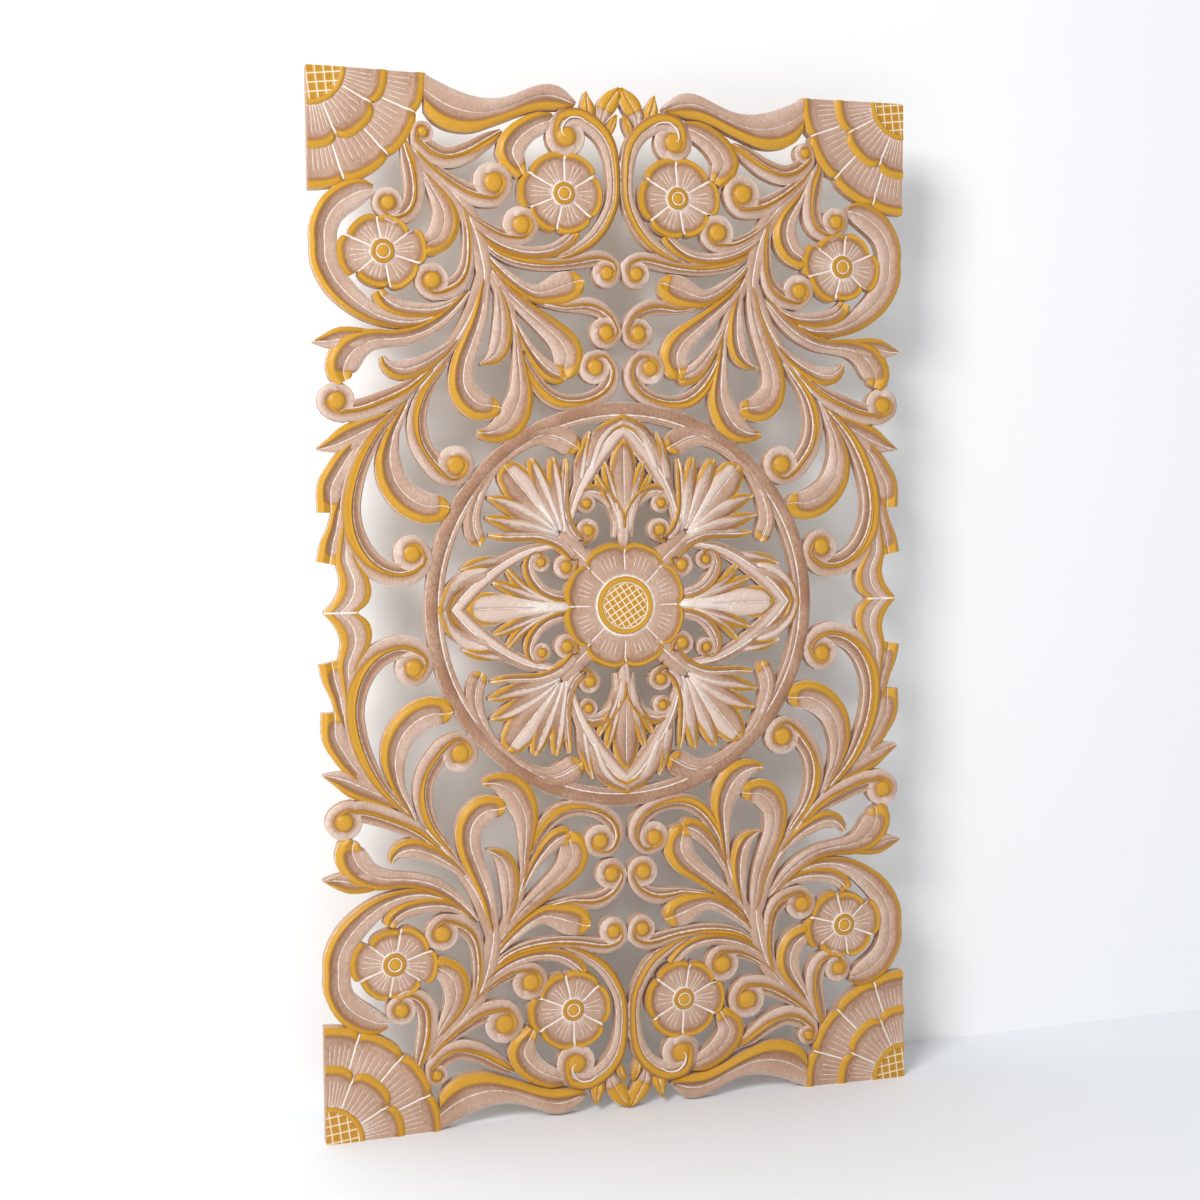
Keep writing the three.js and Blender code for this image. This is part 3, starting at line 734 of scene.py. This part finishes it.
def wound_section(rows, widths, radius, swept, ridge_at):
    """Rows of a band that has wound round its eye until its ridge meets the dome."""
    wound = smooth(swept / 1.9)
    # Towards the end of the turn the rim is painted paler: partly pale paint, partly a painted
    # highlight.
    pale_paint_and_highlight = smooth((swept - 2.6) / 1.2)
    fading = 2.2 * smooth((swept - 3.3) / 1.3)
    comma = 0.04 + 0.13 * smooth(swept / 1.2) * (1 - smooth((swept - 1.8) / 1.6))
    ridge_out = (1 - DOME) * radius
    old_width, new_width = widths
    result = []
    for share, height, gold, white, tone in rows:
        first = share * old_width
        if share < ridge_at:
            last = share / ridge_at * ridge_out
        else:
            last = ridge_out + (share - ridge_at) / (1 - ridge_at) * (new_width - ridge_out)
        o = first + (last - first) * wound
        part = last / radius
        plain = float(np.interp(part, RIM_PARTS, RIM_HEIGHTS))
        rim_tone = 0.95 - 1.3 * part + 0.35 * pale_paint_and_highlight
        result.append((
            min(1.0, o / new_width), height + (plain - height) * wound - fading,
            gold + (comma * radius - abs(last - ridge_out) - gold) * wound,
            white + (max(0.45 - last, -1.0) - white) * wound,
            tone + (rim_tone - tone) * wound))
    return result


def scroll(name, outer, eye, line, profile, ridge_at, gold_root=FAR):
    """A band that winds on round its eye, with its golden ridge running into the dome."""
    stations = resample(line)
    outside, inside = edges_of(stations, outer)
    run = distance_along(stations)
    sections = sections_of(outside, inside, profile, run[-1] - run)
    sections = sunk_roots(sections, run, gold_root)
    middle = np.array(eye[:2], float)
    radius = eye[2]
    entry, turn = eye_entry(eye, line)
    reach = float(np.linalg.norm(stations[-1, :2] - middle))
    half = stations[-1, 2] / 2
    start_out, start_in = reach + half, max(0.1 * radius, reach - half)
    for k in range(1, EYE_TURNS + 1):
        swept = EYE_STEP * k
        way = np.array([math.cos(entry + turn * swept), math.sin(entry + turn * swept)])
        out = start_out + (radius - start_out) * smooth(swept / 1.3)
        out -= 0.3 * radius * smooth((swept - 3.3) / 1.4)
        into = start_in + (0.2 * radius - start_in) * smooth(swept)
        outside = np.vstack([outside, middle + way * out])
        inside = np.vstack([inside, middle + way * into])
        widths = (2 * half, out - into)
        rows = wound_section(profile(2 * half, 0.0), widths, radius, swept, ridge_at)
        sections.append(kept_apart(rows))
    return sweep(name, outside, inside, sections)


def kept_apart(rows):
    """Rows of a section whose shares across never stand still or run backwards."""
    for j in range(1, len(rows)):
        if rows[j][0] <= rows[j - 1][0]:
            rows[j] = (min(1.0, rows[j - 1][0] + 0.002), *rows[j][1:])
    return rows


def eye_dome(name, eye):
    """The golden dome of an eye on its low round base."""
    x, z, radius = eye
    rings = []
    for part, height in ((0.24, 14.5), (0.38, 13.8), (DOME + 0.01, 12.4), (0.6, 11.9),
                         (0.93, 11.7), (1.0, EDGE)):
        gold = (DOME - part) * radius + 0.7
        # A thin white line at the dome's base edge, partly rubbed paint and partly painted
        # highlight.
        white = 0.4 - (1 - part) * radius
        rings.append((part * radius, height, gold, white, 1.6 * part - 0.4))
    return disc(name, (x, z), rings, 16)


def between(name, first, second, profile, count):
    """A stroke whose two edges are given point by point."""
    points = [np.array((*a, *b), float) for a, b in zip(first, second)]
    fine = np.array([catmull(points, t) for t in np.linspace(0, 1, count)])
    outside, inside = fine[:, :2], fine[:, 2:]
    return sweep(name, outside, inside,
                 sections_of(outside, inside, profile, [-FAR] * count))


def around(middle, radius, angle):
    """A point at an angle on a circle."""
    return middle[0] + radius * math.cos(angle), middle[1] + radius * math.sin(angle)


def disc(name, middle, rings, sectors):
    """A round shape from rings of radius, height and paint values."""
    shell = Shell()
    angles = [2 * math.pi * k / sectors for k in range(sectors)]
    loops = [[shell.point(*around(middle, radius, a), *values) for a in angles]
             for radius, *values in rings]
    shell.close_round(middle, loops, rings[0][1:])
    return shell.build(name)


def eye_entry(eye, line):
    """The angle at which a scroll's band reaches its eye, and the way it then turns."""
    middle = np.array(eye[:2], float)
    last, before = np.array(line[-1][:2], float), np.array(line[-2][:2], float)
    arm, ahead = last - middle, last - before
    turn = 1 if arm[0] * ahead[1] - arm[1] * ahead[0] > 0 else -1
    return math.atan2(arm[1], arm[0]), turn


def petal_reach(share, tip, notch):
    """Radius of a petal's rim, round at the tip and pinched at the notches."""
    bend = 1 - (2 * share - 1) ** 4
    return notch + (tip - notch) * bend ** 0.6


def petal_columns(span, radius, rays, spread=0.8):
    """Shares of a petal's angle at its seam, at the sides of its seam and at every ray."""
    narrow = math.degrees(spread / radius) / span
    wide = 1.6 * narrow
    columns = [(0.0, "seam"), (wide, None)]
    for ray in rays:
        columns += [(ray - narrow, None), (ray, "ray"), (ray + narrow, None)]
    places = [c[0] for c in columns] + [1.0 - wide]
    columns.append((1.0 - wide, None))
    gaps = [(a + b) / 2 for a, b in zip(places, places[1:]) if b - a > 0.13]
    return sorted(columns + [(g, None) for g in gaps])


def petal_paint(kind, seam, radius, reach, share_out, rim, ray_to):
    """Gold at the rim, white in the seam and along the rays."""
    if kind == "ray":
        white = 0.65 if share_out < ray_to else 0.8 - seam
    else:
        white = max(1.3 if kind == "seam" else 0.8 - seam, 0.2 - 10 * share_out)
    gold = min(rim - (reach - radius), seam - 0.6)
    return gold, max(white, -1.0), 0.7 - 0.5 * share_out


def petal_loops(shell, middle, hub, spots, rows, tips, rim, depths, ray_from=-1.0, shift=0.0):
    """Loops over all petals of a flower, from its hub out to their rims."""
    seam_depth, ray_depth = depths
    loops = []
    for share_out, height in rows:
        loop = []
        for i, share, kind, a in spots:
            reach = petal_reach(share, tips[i], PETAL_NOTCH * tips[i])
            radius = hub + (reach - hub) * share_out
            seam = min(share, 1 - share) * (2 * math.pi / len(tips)) * radius
            ray_to = FLOWER_RAY if share_out > ray_from else 0.0
            paint = petal_paint(kind, seam + shift, radius, reach, share_out, rim, ray_to)
            h = height + math.sin(math.pi * share) * (0.3 + 0.9 * share_out)
            if kind == "seam":
                h -= seam_depth
            if kind == "ray" and share_out < FLOWER_RAY:
                h -= ray_depth
            if share_out == 1.0:
                h = EDGE
            loop.append(shell.point(*around(middle, radius, a), h, *paint))
        loops.append(loop)
    return loops


def hub_loops(shell, middle, spots, rows):
    """Loops over a flower's hub, as rows of radius, height, gold, white and hatch."""
    return [[shell.point(*around(middle, radius, a), height, gold, white, 0.8, hatch)
             for *_, a in spots] for radius, height, gold, white, hatch in rows]


def petal_spots(starts, radius, rays, spread=0.8):
    """Petal number, share of its angle, kind and angle, once round a flower."""
    spots = []
    for i, start in enumerate(starts):
        end = starts[i + 1] if i + 1 < len(starts) else starts[0] + 360
        for share, kind in petal_columns(end - start, radius, rays, spread):
            spots.append((i, share, kind, math.radians(start + (end - start) * share)))
    return spots


def flower(name, middle, hub, petals):
    """A small flower with uneven petals."""
    spots = petal_spots([start for start, _ in petals], 22, (0.33, 0.5, 0.67))
    shell = Shell()
    rows = ((0.0, 12.3), (0.2, 12.5), (0.54, 11.8), (0.76, 11.2), (0.86, 12.6), (0.94, 12.5),
            (1.0, EDGE))
    loops = petal_loops(shell, middle, hub, spots, rows, [tip for _, tip in petals], 6.2,
                        (0.9, 0.5))
    hub_rows = [(hub * share, height, gold, white, FAR) for share, height, gold, white in (
        (0.12, 14.8, 4.0, -1.0), (0.42, 14.6, 1.5, -0.6), (0.52, 13.9, -0.2, 0.7),
        (0.62, 14.6, 1.2, -0.6), (0.86, 14.4, 1.2, -0.6), (1.0, 12.9, -0.4, 0.7))]
    shell.close_round(middle, hub_loops(shell, middle, spots, hub_rows) + loops,
                      (14.8, 4.0, -1.0, 0.8))
    return shell.build(name)


def middle_flower(name):
    """The flower in the middle of the panel, with a hatched hub."""
    hub, tip, count = MIDDLE_FLOWER["hub"], MIDDLE_FLOWER["tip"], MIDDLE_FLOWER["petals"]
    starts = [360 / count * i for i in range(count)]
    spots = petal_spots(starts, 40, (0.3, 0.43, 0.57, 0.7), 0.7)
    shell = Shell()
    hub_rows = ((7, 14.2, 9, -2, 12), (14, 14.2, 6, -2, 7), (20.5, 14.1, 3, -2, 1.2),
                (22.5, 13.6, 0.2, 0.7, -0.8), (24.0, 14.95, 3, -1, -2.5),
                (27.4, 14.7, 2, -1, -6), (hub + 0.8, 12.6, -0.4, 0.7, -7))
    rows = ((0.1, 12.9), (0.3, 12.7), (0.55, 12.1), (0.76, 11.3), (0.84, 12.9), (0.94, 12.9),
            (1.0, EDGE))
    loops = hub_loops(shell, MIDDLE, spots, hub_rows)
    loops += petal_loops(shell, MIDDLE, hub + 1.5, spots, rows, [tip] * count, 5.6, (0.8, 0.0),
                         ray_from=0.2, shift=0.4)
    shell.close_round(MIDDLE, loops, (14.2, 9, -2, 0.8, 16))
    return shell.build(name)


def tier_spots(starts, radius):
    """Petal number, share of its angle, kind and angle, from past one border to the other."""
    count = len(starts) - 1
    spots = [(0, 0.0, None, starts[0] - PAST_BORDER)]
    for i in range(count):
        span = starts[i + 1] - starts[i]
        for share, kind in petal_columns(span, radius, TIER_RAYS):
            on_border = kind == "seam" and i == 0
            spots.append((i, share, None if on_border else kind, starts[i] + span * share))
    spots.append((count - 1, 1.0, None, starts[-1]))
    spots.append((count - 1, 1.0, None, starts[-1] + PAST_BORDER))
    return spots


def rosette_tier(name, tier, inner_radius, rows):
    """Petals of a quarter rosette round the panel's corner, one step past both borders."""
    starts = tier["angles"]
    shell = Shell()
    rings = []
    for i, share, kind, degrees in tier_spots(starts, 0.5 * (inner_radius + tier["tip"])):
        angle = math.radians(degrees)
        bend_share, from_seam = share, min(share, 1 - share)
        if i == 0:
            bend_share, from_seam = 0.5 + 0.5 * share, 1 - share
        elif i == len(starts) - 2:
            bend_share, from_seam = 0.5 * share, share
        reach = petal_reach(bend_share, tier["tip"], tier["notch"])
        ring_points = [shell.point(*around(CORNER, inner_radius, angle), 0.0)]
        for share_out, lift in rows:
            radius = inner_radius + (reach - inner_radius) * share_out
            seam = from_seam * math.radians(starts[i + 1] - starts[i]) * radius
            paint = petal_paint(kind, seam, radius, reach, share_out, 7.5, TIER_RAY)
            h = tier["low"] + lift
            if kind == "seam" and share_out < 1.0:
                h -= 0.9
            if kind == "ray" and share_out < TIER_RAY:
                h -= 0.5
            ring_points.append(shell.point(*around(CORNER, radius, angle), h, *paint))
        ring_points.append(shell.point(*around(CORNER, reach, angle), 0.0))
        rings.append(ring_points)
    shell.strip(rings)
    return shell.build(name)


def rosette():
    """Two tiers of petals and a hatched disc at the panel's corner."""
    outer_rows = [(0.0, 1.4), (0.3, 1.3), (0.6, 0.9), (0.76, 0.7), (0.86, 2.4), (0.95, 2.0),
                  (1.0, 0.0)]
    inner_rows = [(0.0, 1.6), (0.3, 1.5), (0.6, 1.0), (0.72, 0.7), (0.84, 2.4), (0.94, 2.1),
                  (1.0, 0.0)]
    disc_rings = [(14, 14.4, 9, -2, 0.8, 16), (26, 14.3, 5, -2, 0.8, 5),
                  (31, 14.2, 1, -1, 0.8, 0.4), (32.4, 15.0, 3, -1, 0.8, -1),
                  (35, 14.9, 2, -1, 0.8, -4), (36.5, 13.6, 0.6, 0.2, 0.8, -6)]
    return [rosette_tier("outer_petals", ROSETTE_TIERS[0], 62, outer_rows),
            rosette_tier("inner_petals", ROSETTE_TIERS[1], 34, inner_rows),
            disc("hatched_disc", CORNER, disc_rings, 56)]


def ring():
    """The round frame, as one turned band."""
    rows = [(RING_INNER, EDGE, 0.4, 0.5), (181.6, 12.2, -0.8, 0.4), (184.2, 12.0, -0.2, 0.3),
            (185.2, 11.1, 0.7, 0.3), (186.2, 12.2, -0.2, 0.1), (190.5, 13.8, -4.0, 0.12),
            (194.5, 13.0, -2.4, 0.15), (RING_OUTER, EDGE, 0.4, 0.3)]
    shell = Shell()
    rings = []
    for k in range(RING_SECTORS):
        angle = 2 * math.pi * k / RING_SECTORS
        points = [shell.point(*around(MIDDLE, RING_INNER, angle), 0.0)]
        for radius, height, white, tone in rows:
            points.append(shell.point(*around(MIDDLE, radius, angle), height, FAR, white, tone))
        points.append(shell.point(*around(MIDDLE, RING_OUTER, angle), 0.0))
        rings.append(points)
    shell.strip(rings, closed=True)
    return shell.build("ring_band")


def slab(name, low, high):
    """A plain box between two corners in millimetres of x, height and z."""
    shell = Shell()
    v = [shell.point(x, z, h) for x in (low[0], high[0]) for z in (low[2], high[2])
         for h in (low[1], high[1])]
    for corners in ((0, 1, 3, 2), (4, 6, 7, 5), (0, 4, 5, 1), (2, 3, 7, 6), (0, 2, 6, 4),
                    (1, 5, 7, 3)):
        shell.face(tuple(v[c] for c in corners), 1.0)
    return shell.build(name)


def with_eye(name, eye_name, outer, eye, line, profile, ridge_at, gold_root=FAR):
    """A scroll and the dome of its eye."""
    return [scroll(name, outer, eye, line, profile, ridge_at, gold_root), eye_dome(eye_name, eye)]


def all_scrolls():
    shapes = []
    for i, (outer, eye, line) in enumerate(SCROLLS):
        shapes += with_eye(f"scroll_{i}", f"eye_{i}", outer, eye, line, scroll_profile, 0.5)
    shapes += with_eye("crest_scroll", "crest_eye", *CREST_SCROLL, crest_profile, 0.36)
    return shapes


def all_volutes():
    shapes = []
    for i, (outer, eye, line) in enumerate(VOLUTES):
        gold_root = 7.0 if i < 2 else FAR
        shapes += with_eye(f"volute_{i}", f"volute_eye_{i}", outer, eye, line,
                           plain_end_profile, 0.3, gold_root)
    return shapes


def quarter_shapes():
    shapes = all_scrolls()
    for i, (outer, line) in enumerate(LEAVES):
        shapes.append(stroke(f"leaf_{i}", outer, line, leaf_profile, line[-1][2] > 15))
    shapes.append(stroke("border_scroll", LEFT, BORDER_SCROLL, border_profile))
    for i, (outer, line) in enumerate(BORDER_LEAVES):
        shapes.append(stroke(f"border_{i}", outer, line, under_profile))
    for i, (outer, line) in enumerate(INNER_LEAVES):
        shapes.append(stroke(f"inner_{i}", outer, line, ring_leaf_profile, True))
    for i, line in enumerate(STEMS):
        shapes.append(stroke(f"stem_{i}", LEFT, line, stem_profile, step=8.0))
    shapes += all_volutes()
    for i, line in enumerate(ARMS):
        shapes.append(stroke(f"arm_{i}", RIGHT if i == 0 else LEFT, line, arm_profile))
    for i, line in enumerate(BUDS):
        shapes.append(stroke(f"bud_{i}", LEFT, line, bud_profile, step=4.0))
    for i, line in enumerate(ARM_LOBES + FAN_LOBES + FINIAL_LOBES + FINIALS):
        shapes.append(stroke(f"lobe_{i}", LEFT, line, pale_profile, line[-1][2] > 5, 4.8))
    shapes.append(stroke("web", LEFT, WEB, stem_profile))
    for i, (middle, hub, petals) in enumerate(FLOWERS):
        shapes.append(flower(f"flower_{i}", middle, hub, petals))
    shapes.append(between("top_wave", WAVE_BOTTOM, WAVE_TOP, wave_profile, 34))
    shapes.append(between("seam_leaf", SEAM_OUTSIDE, SEAM_INSIDE, seam_leaf_profile, 22))
    shapes.append(stroke("crest_hook", LEFT, CREST_HOOK, hook_profile, step=2.5))
    shapes.append(middle_flower("middle_flower"))
    return shapes + rosette()


def boolean(target, operation, other=None, group=None):
    """Join or cut an object with another one or with a whole group."""
    modifier = target.modifiers.new(operation.lower(), "BOOLEAN")
    modifier.operation = operation
    modifier.solver = "MANIFOLD"
    if group:
        modifier.operand_type = "COLLECTION"
        modifier.collection = group
    else:
        modifier.object = other


def baked(target):
    """Replace an object's mesh by the result of its modifiers."""
    graph = bpy.context.evaluated_depsgraph_get()
    mesh = bpy.data.meshes.new_from_object(target.evaluated_get(graph))
    target.modifiers.clear()
    target.data = mesh
    return target


def carved_panel():
    """All shapes of a quarter joined with the ring, cut to the quarter and mirrored twice."""
    scene = bpy.context.scene
    group = bpy.data.collections.new("quarter_shapes")
    scene.collection.children.link(group)
    for shape in quarter_shapes():
        group.objects.link(shape)
    panel = ring()
    panel.name = "carved_openwork"
    scene.collection.objects.link(panel)
    keep = slab("quarter_limits", (-HALF_WIDTH, 0.0, -12.0), (12.0, DEPTH, HALF_HEIGHT))
    scene.collection.objects.link(keep)
    boolean(panel, "UNION", group=group)
    boolean(panel, "INTERSECT", other=keep)
    mirror = panel.modifiers.new("halves", "MIRROR")
    mirror.use_axis = (True, False, True)
    mirror.use_bisect_axis = (True, False, True)
    mirror.use_bisect_flip_axis = (True, False, False)
    mirror.merge_threshold = 2e-5
    baked(panel)
    for shape in list(group.objects):
        bpy.data.objects.remove(shape)
    bpy.data.collections.remove(group)
    bpy.data.objects.remove(keep)
    panel.data.shade_smooth()
    panel.data.set_sharp_from_angle(angle=SHARP_ANGLE)
    return panel


# Painted surface


class Graph:
    """A short way to write a node tree."""

    def __init__(self, name):
        self.material = bpy.data.materials.new(name)
        self.material.use_nodes = True
        self.tree = self.material.node_tree
        self.tree.nodes.clear()

    def node(self, kind, **values):
        made = self.tree.nodes.new(kind)
        for key, value in values.items():
            setattr(made, key, value)
        return made

    def link(self, source, target):
        if isinstance(source, bpy.types.NodeSocket):
            self.tree.links.new(source, target)
        else:
            target.default_value = source

    def math(self, operation, *inputs, clamp=False):
        made = self.node("ShaderNodeMath", operation=operation, use_clamp=clamp)
        for socket, value in zip(made.inputs, inputs):
            self.link(value, socket)
        return made.outputs[0]

    def ramp(self, value, low, high):
        made = self.node("ShaderNodeMapRange", interpolation_type="SMOOTHSTEP", clamp=True)
        self.link(value, made.inputs["Value"])
        made.inputs["From Min"].default_value = low
        made.inputs["From Max"].default_value = high
        return made.outputs[0]

    def mix(self, share, first, second):
        made = self.node("ShaderNodeMix", data_type="RGBA", clamp_factor=True)
        self.link(share, made.inputs[0])
        for value, socket in ((first, made.inputs[6]), (second, made.inputs[7])):
            self.link(linear(value) if isinstance(value, tuple) and max(value) > 1 else value,
                      socket)
        return made.outputs[2]

    def noise(self, coordinates, scale, detail=3.0, stretch=None):
        source = coordinates
        if stretch:
            mapping = self.node("ShaderNodeMapping")
            mapping.inputs["Scale"].default_value = stretch
            self.link(source, mapping.inputs[0])
            source = mapping.outputs[0]
        made = self.node("ShaderNodeTexNoise")
        made.inputs["Scale"].default_value = scale
        made.inputs["Detail"].default_value = detail
        self.link(source, made.inputs["Vector"])
        return made.outputs[0]

    def attribute(self, name):
        return self.node("ShaderNodeAttribute", attribute_name=name).outputs["Fac"]

    def spread(self, noise, size):
        """A noise moved round zero."""
        return self.math("MULTIPLY", self.math("SUBTRACT", noise, 0.5), size)

    def parts(self, coordinates):
        split = self.node("ShaderNodeSeparateXYZ")
        self.link(coordinates, split.inputs[0])
        return split.outputs[0], split.outputs[1], split.outputs[2]

    def finish(self, surface):
        self.link(surface, self.node("ShaderNodeOutputMaterial").inputs["Surface"])
        return self.material


def grid_distance(g, x, z, step, tilts):
    """Distance to the nearest line of a square grid, for the tilts of its two families."""
    wrapped = []
    for tilt in tilts:
        along = g.math("ADD", g.math("MULTIPLY", x, math.cos(math.radians(tilt))),
                       g.math("MULTIPLY", z, math.sin(math.radians(tilt))))
        wrapped.append(g.math("PINGPONG", along, step / 2))
    return g.math("MINIMUM", *wrapped)


def hatch_lines(g, coordinates):
    """Distance to the lines of the hatched discs: upright at the corners, slanted inside."""
    x, _, z = g.parts(coordinates)
    at_corner = g.math("GREATER_THAN", g.math("ABSOLUTE", z), 0.2)
    corner = grid_distance(g, x, z, 0.0082, (7, -83))
    middle = grid_distance(g, x, z, 0.0062, (33, -57))
    return g.math("ADD", g.math("MULTIPLY", corner, at_corner),
                  g.math("MULTIPLY", middle, g.math("SUBTRACT", 1.0, at_corner)))


def seam_line(g, coordinates):
    """White filler in the seam across both border leaves at mid height."""
    x, _, z = g.parts(coordinates)
    beside = g.math("GREATER_THAN", g.math("ABSOLUTE", x), 0.24)
    near = g.ramp(g.math("ABSOLUTE", z), 0.0011, 0.0006)
    return g.math("MULTIPLY", beside, g.math("MULTIPLY", near, 0.85))


def wash_colour(g, coordinates):
    """Brown, pink and white wash, by the carved tone and by broad and brushed noise."""
    tone = g.math("ADD", g.attribute("tone"),
                  g.spread(g.noise(coordinates, 520, 5, (1.0, 1.0, 0.5)), 0.9))
    tone = g.math("ADD", tone, g.spread(g.noise(coordinates, 26), 0.9))
    beside_gold = g.ramp(g.attribute("gold"), -4.5, -0.5)
    tone = g.math("SUBTRACT", tone, g.math("MULTIPLY", beside_gold, 0.3))
    colour = g.mix(g.ramp(tone, -0.1, 0.5), BROWN, PINK)
    colour = g.mix(g.ramp(tone, 0.45, 1.15), colour, PINK_LIGHT)
    return g.mix(g.ramp(tone, 1.1, 2.1), colour, WHITE)


def gold_colour(g, fine):
    """Gold paint, thinner at its edge and rubbed thin in fine spots."""
    gold = g.mix(g.ramp(g.attribute("gold"), 0.0, 2.6), GOLD_DEEP, GOLD_LIGHT)
    return g.mix(g.math("MULTIPLY", g.ramp(fine, 0.45, 0.7), 0.35), gold, GOLD_DEEP)


def hatch_marks(g, coordinates):
    """White lines of the hatched discs and the pits between them, which the bump sinks and which
    are painted darker as painted shade.
    """
    near = hatch_lines(g, coordinates)
    in_hatch = g.ramp(g.attribute("hatch"), -0.4, 0.4)
    lines = g.math("MULTIPLY", in_hatch, g.ramp(near, 0.0006, 0.0002))
    pits = g.math("MULTIPLY", in_hatch, g.ramp(near, 0.0007, 0.0022))
    return lines, pits


def white_marks(g, coordinates, wobble, hatch):
    """Share of white: filler in the carved lines, hatching and the seam, and thin pale lines
    along the edges, partly rubbed paint and partly painted highlight.
    """
    place = g.math("ADD", g.attribute("white"), g.spread(wobble, 1.2))
    share = g.math("MULTIPLY", g.ramp(place, -0.2, 0.6), 0.85)
    share = g.math("MAXIMUM", share, g.math("MULTIPLY", hatch, 0.9))
    return g.math("MAXIMUM", share, seam_line(g, coordinates))


def with_plain_sides(g, coordinates, colour, mottle, fine):
    """Plain paint on the side walls and plain wood on the back."""
    side = g.mix(g.ramp(mottle, 0.35, 0.7), SIDE_TONE, PINK)
    colour = g.mix(g.attribute("side"), colour, side)
    on_back = g.ramp(g.parts(coordinates)[1], -0.0004, -0.0001)
    board = g.mix(g.ramp(fine, 0.35, 0.65), BACK_TONE, BACK_LIGHT)
    return g.mix(on_back, colour, board)


def brush_bump(g, mottle, fine, pits):
    """Brush marks, and the pits of the hatched discs."""
    relief = g.math("ADD", g.math("MULTIPLY", mottle, 0.35), g.math("MULTIPLY", fine, 0.35))
    relief = g.math("SUBTRACT", relief, g.math("MULTIPLY", pits, 1.6))
    bump = g.node("ShaderNodeBump")
    bump.inputs["Strength"].default_value = 0.35
    bump.inputs["Distance"].default_value = 0.0006
    g.link(relief, bump.inputs["Height"])
    return bump.outputs[0]


def paint_material():
    g = Graph("painted_wood")
    coordinates = g.node("ShaderNodeTexCoord").outputs["Object"]
    mottle = g.noise(coordinates, 150, 4)
    fine = g.noise(coordinates, 620, 3)
    wobble = g.noise(coordinates, 240, 2)
    hatch, pits = hatch_marks(g, coordinates)

    gold_share = g.ramp(g.math("ADD", g.attribute("gold"), g.spread(wobble, 1.6)), -1.5, 1.1)
    colour = g.mix(gold_share, wash_colour(g, coordinates), gold_colour(g, fine))
    # The hatch pits are painted a deeper gold, as painted shade in them.
    colour = g.mix(g.math("MULTIPLY", pits, 0.5), colour, GOLD_DEEP)
    colour = g.mix(white_marks(g, coordinates, wobble, hatch), colour, WHITE)
    colour = with_plain_sides(g, coordinates, colour, mottle, fine)

    shader = g.node("ShaderNodeBsdfPrincipled")
    g.link(colour, shader.inputs["Base Color"])
    g.link(g.math("SUBTRACT", 0.62, g.math("MULTIPLY", gold_share, 0.2)),
           shader.inputs["Roughness"])
    shader.inputs["Specular IOR Level"].default_value = 0.4
    g.link(brush_bump(g, mottle, fine, pits), shader.inputs["Normal"])
    return g.finish(shader.outputs[0])


def plain_paint(g, colour, roughness):
    shader = g.node("ShaderNodeBsdfPrincipled")
    shader.inputs["Base Color"].default_value = linear(colour)
    shader.inputs["Roughness"].default_value = roughness
    return shader.outputs[0]


def floor_material():
    g = Graph("floor_paint")
    return g.finish(plain_paint(g, FLOOR, 0.7))


def wall_material():
    """Paint that is seen through from behind, so that the panel's back shows."""
    g = Graph("wall_paint")
    mix = g.node("ShaderNodeMixShader")
    g.link(g.node("ShaderNodeNewGeometry").outputs["Backfacing"], mix.inputs[0])
    g.link(plain_paint(g, WALL, 0.8), mix.inputs[1])
    g.link(g.node("ShaderNodeBsdfTransparent").outputs[0], mix.inputs[2])
    return g.finish(mix.outputs[0])


def sheet(name, corners, material):
    mesh = bpy.data.meshes.new(name)
    mesh.from_pydata(corners, [], [(0, 1, 2, 3)])
    mesh.materials.append(material)
    made = bpy.data.objects.new(name, mesh)
    bpy.context.scene.collection.objects.link(made)
    return made


def add_stage():
    foot = -HALF_HEIGHT * MM
    far, top = 6, 4
    sheet("floor", [(-far, -far, foot), (far, -far, foot), (far, far, foot), (-far, far, foot)],
          floor_material())
    sheet("wall", [(-far, BACKDROP_GAP, foot), (far, BACKDROP_GAP, foot),
                   (far, BACKDROP_GAP, top), (-far, BACKDROP_GAP, top)], wall_material())


def add_light(name, place, size, power):
    """A lamp that looks at the middle of the panel."""
    lamp = bpy.data.lights.new(name, "AREA")
    lamp.shape = "RECTANGLE"
    lamp.size, lamp.size_y = size
    lamp.energy = power
    made = bpy.data.objects.new(name, lamp)
    bpy.context.scene.collection.objects.link(made)
    made.location = place
    made.rotation_euler = (-Vector(place)).to_track_quat("-Z", "Y").to_euler()
    return made


def add_lights(panel):
    add_light("key", (-1.9, -2.1, 1.5), (1.1, 1.1), KEY_POWER)
    add_light("fill", (1.8, -3.2, 0.6), (2.4, 2.0), FILL_POWER)
    back = add_light("back", (0.5, 2.8, 0.9), (2.0, 2.0), BACK_POWER)
    only_panel = bpy.data.collections.new("lit_from_behind")
    only_panel.objects.link(panel)
    back.light_linking.receiver_collection = only_panel
    back.light_linking.blocker_collection = only_panel
    world = bpy.data.worlds.new("studio")
    world.use_nodes = True
    background = world.node_tree.nodes["Background"]
    background.inputs["Color"].default_value = (1.0, 1.0, 1.0, 1)
    background.inputs["Strength"].default_value = WORLD_STRENGTH
    bpy.context.scene.world = world
    bpy.context.scene.view_settings.view_transform = "Standard"


def add_camera():
    data = bpy.data.cameras.new("camera")
    data.lens = CAMERA_LENS
    data.sensor_width = 36
    camera = bpy.data.objects.new("camera", data)
    bpy.context.scene.collection.objects.link(camera)
    forward = Vector(CAMERA_FORWARD).normalized()
    right = forward.cross(Vector(CAMERA_UP)).normalized()
    up = right.cross(forward)
    turn = Matrix((right, up, -forward)).transposed().to_4x4()
    camera.matrix_world = Matrix.Translation(Vector(CAMERA_PLACE) * MM) @ turn
    bpy.context.scene.camera = camera


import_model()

add_camera()
panel = carved_panel()
panel.data.materials.clear()
panel.data.materials.append(paint_material())
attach(panel, "root")
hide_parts("carved_panel")
add_stage()
add_lights(panel)
